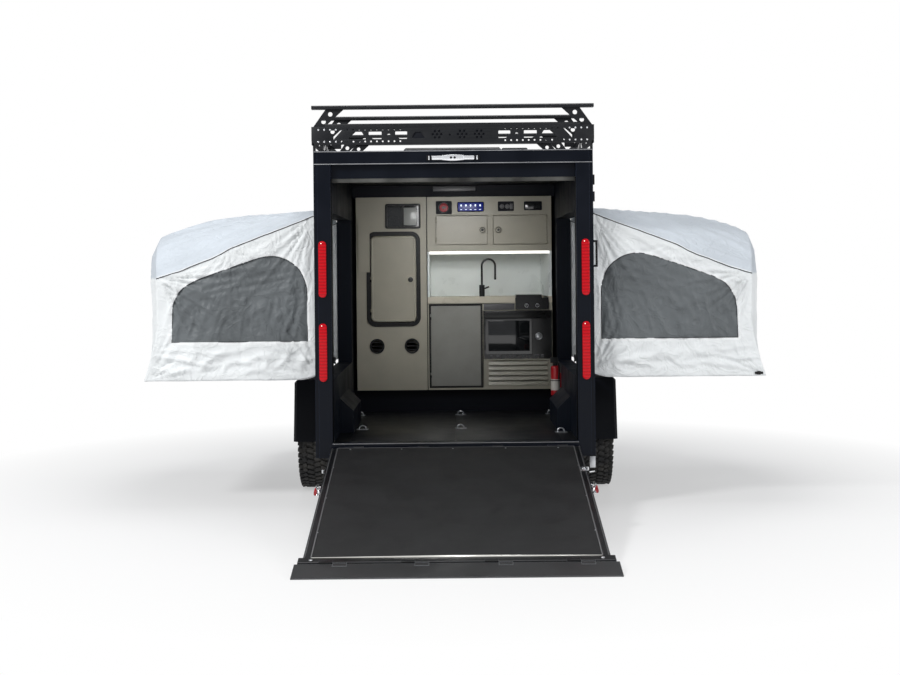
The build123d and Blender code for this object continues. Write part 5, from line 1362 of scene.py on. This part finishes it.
@dataclass
class Mattress:
    """One bed's mattress: swollen foam with sewn channels."""

    name: str
    voxel: float = 0.024
    swell: float = 0.009
    pressure: float = 4.0
    frames: int = 20

    def build(self) -> None:
        """Make the mattress and lay it on its platform."""
        node = "mattress_" + self.name
        low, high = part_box(node)
        part = Part("bed_mattress_" + self.name)
        inset = Vector((self.swell, self.swell, 0))
        part.block(low + inset, high - inset - Vector((0, 0, self.swell)), 0.018)
        piece = part.finish(Cloth("mattress_cloth", (0.3, 0.31, 0.33), weave=600), "bed_" + self.name,
                            look=Look.SMOOTH, stands_for=[node])
        self._pad(piece, low, high)
        self._swell(piece, low)
        finer = piece.modifiers.new("finer", "SUBSURF")
        finer.levels = finer.render_levels = 1

    def _pad(self, piece: bpy.types.Object, low: Vector, high: Vector) -> None:
        """Remesh the pad finely and crown it between sewn channels."""
        remesh = piece.modifiers.new("remesh", "REMESH")
        remesh.mode = "VOXEL"
        remesh.voxel_size = self.voxel
        mesh = bpy.data.meshes.new_from_object(piece.evaluated_get(bpy.context.evaluated_depsgraph_get()))
        piece.modifiers.clear()
        old = piece.data
        mesh.materials.clear()
        mesh.materials.append(old.materials[0])
        piece.data = mesh
        size = high - low
        for vert in mesh.vertices:
            u = (vert.co.x - low.x) / size.x
            v = (vert.co.y - low.y) / size.y
            t = (vert.co.z - low.z) / size.z
            channel = abs(math.sin(math.pi * 4 * u)) ** 0.4 * abs(math.sin(math.pi * 6 * v)) ** 0.4
            if t > 0.5:
                vert.co.z += self.swell * (channel - 0.35)
        mesh.polygons.foreach_set("use_smooth", [True] * len(mesh.polygons))

    def _swell(self, piece: bpy.types.Object, low: Vector) -> None:
        """Let the cover swell under its filling's pressure, held along its base."""
        scene = bpy.context.scene
        base = [vert.index for vert in piece.data.vertices if vert.co.z < low.z + self.voxel]
        piece.vertex_groups.new(name="base").add(base, 1.0, "REPLACE")
        cloth = piece.modifiers.new("swell", "CLOTH")
        cloth.settings.use_pressure = True
        cloth.settings.uniform_pressure_force = self.pressure
        cloth.settings.vertex_group_mass = "base"
        cloth.settings.effector_weights.gravity = 0.0
        cloth.point_cache.frame_end = self.frames
        for number in range(1, self.frames + 1):
            scene.frame_set(number)
        swollen = piece.evaluated_get(bpy.context.evaluated_depsgraph_get())
        places = [vert.co.copy() for vert in swollen.data.vertices]
        piece.modifiers.clear()
        for vert, place in zip(piece.data.vertices, places):
            move = place - vert.co
            vert.co += move.normalized() * min(move.length, self.swell)
        scene.frame_set(1)


@dataclass
class RoadWheel:
    """One wheel with its off-road tyre, lug nuts and cap."""

    side: int
    name: str
    blocks: int = 50
    steps: int = 76
    rim: float = 0.222
    skin: float = 0.013
    ribs: Pair = (0.05, 0.085)
    bead: tuple[Pair, ...] = ((0.002, 0.034), (0.016, 0.02), (0.04, 0.009), (0.062, 0.004))
    shoulder: tuple[Pair, ...] = ((-0.062, 0.003), (-0.03, 0.008), (-0.01, 0.02), (0.0, 0.042))
    nuts: int = 6
    nut_circle: float = 0.096
    cap: tuple[Pair, ...] = ((0.0001, 0.0), (0.04, 0.0), (0.04, 0.012), (0.034, 0.02), (0.0001, 0.024))

    def build(self) -> None:
        """Make the tyre and the wheel's small pieces."""
        low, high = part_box("tyre_" + self.name)
        self.centre = (low + high) / 2
        self.width = high.x - low.x
        self.radius = (high.z - low.z) / 2
        dress("wheel_" + self.name, Paint.wheel)
        self._tyre()
        self._nuts()

    def _tyre(self) -> None:
        """The tyre's carcass, sidewall ribs and tread."""
        part = Part("off_road_tyre_" + self.name)
        half, tread = self.width / 2, self.radius - self.skin
        wall = [(self.rim + rise, half - inset) for rise, inset in self.bead]
        wall += [(tread + rise, half - inset) for rise, inset in self.shoulder]
        profile = [(radius, -place) for radius, place in wall] + [(tread + 0.001, 0.0)] + wall[::-1]
        part.lathe(profile, (0, 0, 0), (0, 0, 1), self.steps)
        for ring in self.ribs:
            for end in (-1, 1):
                part.ring((0, 0, end * (half - 0.0045)), (0, 0, 1), self.rim + ring, 0.0022, self.steps)
        self._tread(part, half, tread)
        place = Matrix.Translation(self.centre) @ Matrix.Rotation(self.side * math.pi / 2, 4, "Y")
        part.move(place)
        part.finish(Rubber(), "wheel_" + self.name, stands_for=["tyre_" + self.name])

    def _tread(self, part: Part, half: float, tread: float) -> None:
        """Rows of chunky blocks: two zig-zag rows in the middle and a shoulder row at each side."""
        rows = (
            (-0.026, 0.045, 0.0, 18), (0.026, 0.045, 0.5, -18),
            (-0.067, 0.032, 0.35, -26), (0.067, 0.032, 0.85, 26),
            (-half + 0.022, 0.036, 0.0, 6), (half - 0.022, 0.036, 0.5, -6),
        )
        pitch = 2 * math.pi / self.blocks
        length = pitch * self.radius * 0.62
        for across, width, shift, twist in rows:
            shoulder = abs(across) > half - 0.05
            for index in range(self.blocks):
                step = 0.004 if (index % 2 and shoulder) else 0.0
                made = part.block((tread - 0.012, -length / 2, -width / 2), (self.radius - 0.0004 - step,
                                  length / 2, width / 2), 0.0022)
                slant = Matrix.Rotation(math.radians(twist), 4, "X")
                lean = Matrix.Rotation(math.radians(16 if across > 0 else -16), 4, "Y") if shoulder \
                    else Matrix.Identity(4)
                drop = Matrix.Translation((-0.004 if shoulder else 0.0, 0, across))
                middle = Matrix.Translation((tread, 0, 0))
                turn = Matrix.Rotation((index + shift) * pitch, 4, "Z")
                bmesh.ops.transform(part.bm, verts=made,
                                    matrix=turn @ drop @ middle @ lean @ slant @ middle.inverted())

    def _nuts(self) -> None:
        """The lug nuts and the hub's cap."""
        part = Part("lug_nuts_" + self.name)
        disc = self.centre.x + self.side * 0.036
        for index in range(self.nuts):
            angle = math.radians(360 / self.nuts * index + 15)
            y = self.centre.y + self.nut_circle * math.cos(angle)
            z = self.centre.z + self.nut_circle * math.sin(angle)
            part.rod((disc, y, z), (disc + self.side * 0.02, y, z), 0.0105, sides=6, soft=0.0015)
        hub = self.centre.x + self.side * 0.064
        part.lathe(self.cap, (hub, self.centre.y, self.centre.z), (self.side, 0, 0), 32)
        part.finish(Paint.zinc, "wheel_" + self.name)


@dataclass
class Galley:
    """The galley: cupboards, counter, appliances, lights and instruments."""

    face: float = GALLEY_FACE
    knobs: tuple[tuple[str, float], ...] = (("left", 0.246), ("right", 0.383))
    knob_z: float = 2.0275
    gauge: Pair = (-0.083, 2.222)
    switches: int = 5
    switch_start: float = 0.066
    switch_pitch: float = 0.0408
    sockets: Pair = (0.417, 0.463)
    socket_z: float = 2.228
    oven_dial: Pair = (0.722, 1.111)
    keys: int = 9
    key_start: float = 0.3
    key_pitch: float = 0.055
    slats: int = 5
    slat_inset: float = 0.008
    burner_dials: Pair = (0.619, 0.711)
    burner_z: float = 1.376

    finishes: dict[str, Surface] = field(default_factory=lambda: {
        "overhead_cupboard": Paint.beige, "cupboard_door_left": Paint.door,
        "cupboard_door_right": Paint.door, "galley_recess": Paint.splash, "counter_top": Paint.counter,
        "cooktop": Paint.enamel, "base_cabinet": Paint.beige, "fridge": Paint.trim,
        "fridge_door": Paint.steel, "faucet": Paint.knob, "louvre_panel": Paint.slat,
        "galley_fillers": Paint.filler, "instrument_panels": Paint.filler, "extinguisher": Paint.red,
        "microwave": Paint.enamel, "microwave_door": Paint.oven_glass,
    })

    def build(self) -> None:
        """Dress the nodes and add the detail."""
        for node, finish in self.finishes.items():
            dress(node, finish)
        self._lights()
        self._knobs()
        self._instruments()
        self._sockets()
        self._microwave()
        self._louvre()
        self._cooktop()
        self._strips()
        self._extinguisher()

    def _board(self, part: Part, span: Sequence[float], depth: Pair, soft: float = 0.0) -> Part:
        """Add a flat box on the galley's front.

        Args:
            part: The piece in the making.
            span: Its left, right, lower and upper edge.
            depth: Its front and back, from the galley's face forwards.
            soft: How far its edges are rounded.

        Returns:
            The piece in the making.
        """
        x0, x1, z0, z1 = span
        part.block((x0, self.face + depth[0], z0), (x1, self.face + depth[1], z1), soft)
        return part

    def _lights(self) -> None:
        """The bright strip over the counter and the dark lamp at the ceiling."""
        strip = (-0.218, 0.832, 1.822, 1.845)
        self._board(Part("counter_light"), strip, (0.002, 0.02), 0.003).finish(Paint.strip)
        lamp = (-0.175, 0.19, 2.364, 2.406)
        self._board(Part("ceiling_light"), lamp, (0.004, 0.01), 0.002).finish(Paint.grey_strip)

    def _knobs(self) -> None:
        """A round knob on each cupboard door."""
        y = self.face - 0.024
        for name, x in self.knobs:
            part = Part("cupboard_knob_" + name)
            part.ring((x, y + 0.001, self.knob_z), (0, 1, 0), 0.021, 0.0025, 32)
            part.ball((x, y, self.knob_z), 0.012, (1, 0.35, 1))
            part.finish(Paint.knob, "cupboard_" + name, look=Look.SMOOTH)

    def _instruments(self) -> None:
        """The gauge and the lit switch panel."""
        y, (x, z) = self.face, self.gauge
        gauge = Part("gauge_dial")
        gauge.ring((x, y - 0.0145, z), (0, 1, 0), 0.043, 0.004)
        self._board(gauge, (-0.098, -0.068, 2.214, 2.232), (-0.018, -0.0154), 0.0012).finish(Paint.grey_strip)
        dial = Part("gauge_face")
        dial.rod((x, y - 0.0135, z), (x, y - 0.0155, z), 0.037, sides=40, soft=0.0006)
        dial.finish(Paint.dial)
        panel = (0.04, 0.255, 2.191, 2.263)
        self._board(Part("switch_panel_face"), panel, (-0.0085, -0.0055), 0.0012).finish(Paint.blue)
        lights = Part("switch_panel_lights")
        for index in range(self.switches):
            x = self.switch_start + index * self.switch_pitch
            self._board(lights, (x - 0.006, x + 0.006, 2.232, 2.248), (-0.0105, -0.008), 0.001)
            self._board(lights, (x - 0.008, x + 0.008, 2.202, 2.206), (-0.0095, -0.008), 0.0004)
        lights.finish(Paint.spot)

    def _sockets(self) -> None:
        """The round sockets and the small display."""
        part, y, z = Part("socket_rings"), self.face, self.socket_z
        for x in self.sockets:
            part.rod((x, y - 0.0075, z), (x, y - 0.0045, z), 0.017, sides=24, soft=0.001)
            part.ring((x, y - 0.0075, z), (0, 1, 0), 0.018, 0.0022, 28)
        self._board(part, (0.484, 0.51, 2.205, 2.252), (-0.0065, -0.0045), 0.002).finish(Paint.grey_strip)
        glass = (0.617, 0.749, 2.202, 2.261)
        self._board(Part("display_glass"), glass, (-0.0105, -0.0075), 0.002).finish(Paint.display)

    def _microwave(self) -> None:
        """The dial, keys, brow and pane of the microwave."""
        y, (x, z) = self.face, self.oven_dial
        part = Part("microwave_trim")
        part.ring((x, y - 0.0165, z), (0, 1, 0), 0.027, 0.0026)
        part.rod((x, y - 0.019, z), (x, y - 0.0158, z), 0.02, sides=32, soft=0.001)
        part.finish(Paint.zinc, look=Look.SMOOTH)
        keys = Part("microwave_keys")
        for index in range(self.keys):
            x = self.key_start + index * self.key_pitch
            self._board(keys, (x, x + 0.026 + 0.012 * (index % 2), 0.929, 0.952), (-0.003, 0.0), 0.001)
        keys.finish(Paint.grey_strip)
        brow = self._board(Part("microwave_brow"), (0.26, 0.83, 1.262, 1.328), (-0.006, 0.0), 0.002)
        brow.finish(Paint.brow)
        pane = self._board(Part("microwave_pane"), (0.29, 0.645, 0.985, 1.245), (-0.003, 0.001), 0.001)
        pane.finish(Paint.oven_glass, "microwave_door")

    def _louvre(self) -> None:
        """A pale rod on each slat's lip that paints its highlight."""
        part = Part("louvre_lips")
        low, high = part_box("louvre_panel")
        pitch = (high.z - low.z - 2 * self.slat_inset) / self.slats
        y = self.face - 0.001
        for index in range(self.slats):
            z = low.z + self.slat_inset + index * pitch + 0.005
            part.rod((low.x + 0.042, y, z), (high.x - 0.042, y, z), 0.003, sides=12)
        part.finish(Paint.slat_highlight, look=Look.SMOOTH)

    def _cooktop(self) -> None:
        """The rings and pointers of the cooktop's dials."""
        part, z = Part("cooktop_trim"), self.burner_z
        for x in self.burner_dials:
            part.ring((x, self.face - 0.0425, z), (0, 1, 0), 0.015, 0.0022, 28)
            self._board(part, (x - 0.0015, x + 0.0015, z, z + 0.016), (-0.0435, -0.0415))
        part.finish(Paint.zinc)

    def _strips(self) -> None:
        """The grey strip under the counter and the dark splits between the cabinets."""
        strip = (0.251, 0.518, 1.338, 1.392)
        self._board(Part("galley_strips"), strip, (-0.004, 0.0), 0.0015).finish(Paint.grey_strip)
        splits = self._board(Part("galley_splits"), (-0.2345, -0.2295, 0.66, 2.31), (0.001, 0.004))
        self._board(splits, (0.243, 0.249, 0.675, 1.335), (-0.003, 0.0), 0.001).finish(Paint.trim)

    def _extinguisher(self) -> None:
        """The extinguisher's blank label, valve, strap and hose."""
        low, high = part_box("extinguisher")
        x, y, z = high.x - 0.046, low.y + 0.038, low.z
        label = Part("extinguisher_label")
        label.lathe([(0.0388, 0.04), (0.0388, 0.13), (0.0375, 0.13), (0.0375, 0.04)], (x, y, z), (0, 0, 1))
        label.finish(Paint.white)
        top = Part("extinguisher_valve")
        top.rod((x, y, z + 0.236), (x, y, z + 0.276), 0.017, sides=20, soft=0.002)
        top.block((x - 0.042, y - 0.012, z + 0.262), (x + 0.02, y + 0.012, z + 0.307), 0.004)
        top.ring((x, y, z + 0.12), (0, 0, 1), 0.0395, 0.003, 40)
        hose = ((0.01, -0.014, 0.28), (0.024, -0.03, 0.26), (0.028, -0.044, 0.2), (0.02, -0.045, 0.13))
        top.pipe([(x + dx, y + dy, z + dz) for dx, dy, dz in hose], 0.0055)
        top.finish(Paint.trim)


@dataclass
class BathCupboard:
    """The bath cupboard's front: door, window, vents and the raised panel."""

    face: float = GALLEY_FACE
    door: tuple[float, float, float, float] = (-0.713, -0.327, 1.244, 1.982)
    latch_inset: float = 0.047
    latch_z: float = 1.606
    pane_low: Pair = (-0.428, 2.075)
    pane_high: Pair = (-0.318, 2.226)

    finishes: dict[str, Surface] = field(default_factory=lambda: {
        "wardrobe": Paint.beige, "wardrobe_trim": Paint.trim, "wardrobe_door": Paint.door,
        "wardrobe_window": Paint.smoked,
    })

    def build(self) -> None:
        """Dress the nodes and add the door's moulding, the latch and the window's pale half."""
        for node, finish in self.finishes.items():
            dress(node, finish)
        self._moulding()
        self._latch()
        self._window()

    def _moulding(self) -> None:
        """The raised moulding near the door's edge."""
        x0, x1, z0, z1 = self.door
        part = Part("bath_door_moulding")
        outer, inner = (rounded(x0 + inset, x1 - inset, z0 + inset, z1 - inset, radius, 8)
                        for inset, radius in ((0.004, 0.042), (0.016, 0.032)))
        part.plate(outer, [inner], 0.005, facing_rear(self.face - 0.0145), 0.0022)
        part.finish(Paint.door, "bath_door")

    def _latch(self) -> None:
        """The door's round latch."""
        x, z, y = self.door[1] - self.latch_inset, self.latch_z, self.face - 0.022
        part = Part("bath_door_latch")
        part.rod((x, y - 0.004, z), (x, y, z), 0.022, sides=32, soft=0.0015)
        part.block((x - 0.004, y - 0.009, z - 0.018), (x + 0.004, y - 0.003, z + 0.018), 0.0015)
        part.finish(Paint.knob, "bath_door")

    def _window(self) -> None:
        """The window's pale half."""
        part = Part("bath_window_light")
        (x0, z0), (x1, z1) = self.pane_low, self.pane_high
        part.block((x0, self.face - 0.001, z0), (x1, self.face + 0.0005, z1), 0.0004)
        part.finish(Paint.pale_pane)


@dataclass
class Cabin:
    """What shows inside the load space: floor mats and ceiling."""

    mat_half: float = 0.76
    mat_gap: float = 0.004
    mat_start: float = 0.12
    mat_end: float = 1.97
    ceiling_half: float = 0.868
    ceiling_z: float = 2.414

    def build(self) -> None:
        """Add the floor's mats and the ceiling's lining."""
        self._mats()
        self._ceiling()

    def _mats(self) -> None:
        """Two mats, side by side."""
        part = Part("floor_mats")
        y0, y1 = REAR_FACE + self.mat_start, REAR_FACE + self.mat_end
        for x0, x1 in ((-self.mat_half, -self.mat_gap), (self.mat_gap, self.mat_half)):
            part.block((x0, y0, FLOOR_TOP), (x1, y1, FLOOR_TOP + 0.002), 0.0008)
        part.finish(Paint.mat)

    def _ceiling(self) -> None:
        """The dark sheet under the roof."""
        part = Part("ceiling_lining")
        half, z = self.ceiling_half, self.ceiling_z
        part.block((-half, REAR_FACE + 0.11, z), (half, GALLEY_FACE + 0.03, z + 0.005), 0.001)
        part.finish(Paint.inner)


@dataclass
class Tongue:
    """The valves and collars on the gas bottles."""

    collar: tuple[Pair, ...] = ((0.088, -0.11), (0.092, -0.11), (0.092, -0.012), (0.088, -0.012))

    def build(self) -> None:
        """Make the valves and collars."""
        low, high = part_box("gas_bottles")
        y = (low.y + high.y) / 2
        part = Part("bottle_valves")
        collars = Part("bottle_collars")
        for side in (-1, 1):
            x = side * (high.x - 0.15)
            part.rod((x, y, high.z - 0.03), (x, y, high.z - 0.004), 0.017, sides=20, soft=0.002)
            z = high.z - 0.012
            part.rod((x, y, z), (x - side * 0.05, y, z), 0.009, sides=16, soft=0.001)
            collars.lathe(self.collar, (x, y, high.z), (0, 0, 1), 40)
        part.finish(Paint.brass)
        collars.finish(Paint.bottle)


@dataclass
class Studio:
    """The floor, the lights and the camera at the photograph's place."""

    distance: float = 9.5
    height: float = 1.72
    focal_pixels: float = 1343.0
    vanish_x: float = 454.0
    roll: float = math.radians(0.55)
    vanish_y: float = 266.0
    width: int = 900
    tall: int = 675
    sensor: float = 36.0
    floor_half: float = 30.0
    fade_start: float = 2.4
    fade_end: float = 4.6
    fade_share: float = 0.45

    def build(self) -> None:
        """Make the studio round the finished trailer."""
        scene = bpy.context.scene
        scene.view_settings.view_transform = "Standard"
        self._camera(scene)
        self._floor()
        self._world(scene)
        self._lights()

    def _camera(self, scene: bpy.types.Scene) -> None:
        """The camera behind the trailer, with the photograph's vanishing point and roll."""
        data = bpy.data.cameras.new("camera")
        data.sensor_width = self.sensor
        data.lens = self.focal_pixels / self.width * self.sensor
        data.shift_x = -(self.vanish_x - self.width / 2) / self.width
        data.shift_y = (self.vanish_y - self.tall / 2) / self.width
        camera = placed("camera", data)
        camera.location = (0.0, REAR_FACE - self.distance, self.height)
        camera.rotation_euler = (math.pi / 2, self.roll, 0.0)
        scene.camera = camera

    def _floor(self) -> None:
        """A pale floor that keeps the shadow near the trailer and fades to white."""
        part = Part("studio_floor")
        half = self.floor_half
        part.block((-half, -half, -0.02), (half, half, 0.0))
        mesh = bpy.data.meshes.new("studio_floor")
        part.bm.to_mesh(mesh)
        part.bm.free()
        floor = placed("studio_floor", mesh)
        nodes = Nodes(bpy.data.materials.new("studio_floor"))
        away = nodes.add("VectorMath", {"operation": "LENGTH"}, in0=nodes.place()).outputs["Value"]
        fade = nodes.fit(away, self.fade_start, self.fade_end, self.fade_share, 1.0)
        path = nodes.add("LightPath").outputs
        seen = nodes.maths("MAXIMUM", path["Is Camera Ray"], path["Is Glossy Ray"])
        share = nodes.maths("MULTIPLY", seen, fade)
        pale = (0.93, 0.93, 0.93, 1.0)
        matt = nodes.add("BsdfPrincipled", None, Base_Color=pale, Roughness=0.42).outputs[0]
        white = nodes.add("Emission", None, Color=(1, 1, 1, 1), Strength=1.0).outputs[0]
        both = nodes.add("MixShader", None, in0=share, in1=matt, in2=white).outputs[0]
        mesh.materials.append(nodes.close(both))

    def _world(self, scene: bpy.types.Scene) -> None:
        """A soft pale light from all round, and plain white where the camera looks."""
        scene.world = bpy.data.worlds.new("studio")
        nodes = Nodes(scene.world)
        path = nodes.add("LightPath").outputs
        seen = nodes.maths("MAXIMUM", path["Is Camera Ray"], path["Is Transmission Ray"])
        soft = nodes.add("Background", None, Color=(0.93, 0.96, 1.0, 1.0), Strength=0.3).outputs[0]
        white = nodes.add("Background", None, Color=(1.0, 1.0, 1.0, 1.0), Strength=1.0).outputs[0]
        nodes.close(nodes.add("MixShader", None, in0=seen, in1=soft, in2=white).outputs[0], "OutputWorld")

    def _lights(self) -> None:
        """Key, fill and top light round the trailer, and a weak lamp inside it."""
        target = Vector((0.0, REAR_FACE + 0.6, 1.3))
        self._area("key", (-5.6, REAR_FACE - 4.4, 6.6), target, 1.6, 460.0)
        self._area("fill", (5.6, REAR_FACE - 3.2, 3.4), target, 2.6, 130.0)
        self._area("top", (0.0, REAR_FACE + 1.0, 7.0), target, 3.0, 150.0)
        self._area("cabin", (0.0, REAR_FACE + 0.75, 2.3), Vector((0.0, GALLEY_FACE, 1.45)), 0.7, 6.8, 110.0)

    def _area(self, name: str, place: Sequence[float], target: Vector, size: float, power: float,
              spread: float = 180.0) -> None:
        """A square lamp that points at its target."""
        data = bpy.data.lights.new(name, "AREA")
        data.spread = math.radians(spread)
        data.size = size
        data.energy = power
        lamp = placed(name, data)
        lamp.location = place
        lamp.rotation_euler = (target - Vector(place)).to_track_quat("-Z", "Y").to_euler()


def corners(bounds: tuple[Vector, Vector]) -> list[list[float]]:
    """A box's two corners as plain lists."""
    return [list(corner) for corner in bounds]


def main() -> None:
    """Build the trailer's sub-assemblies in order, then the studio."""
    logging.basicConfig(level=logging.INFO, format="%(name)s %(message)s")
    builders = [
        Shell(), Lamps(), RampDoor(), RoofRack(), Cabin(), Galley(), BathCupboard(), Tongue(),
        Tent(-1, "left"), Tent(1, "right"), Mattress("left"), Mattress("right"),
        RoadWheel(-1, "left"), RoadWheel(1, "right"), Studio(),
    ]
    for builder in builders:
        builder.build()
        log.info("built %s", type(builder).__name__)


if __name__ == "__main__":
    main()
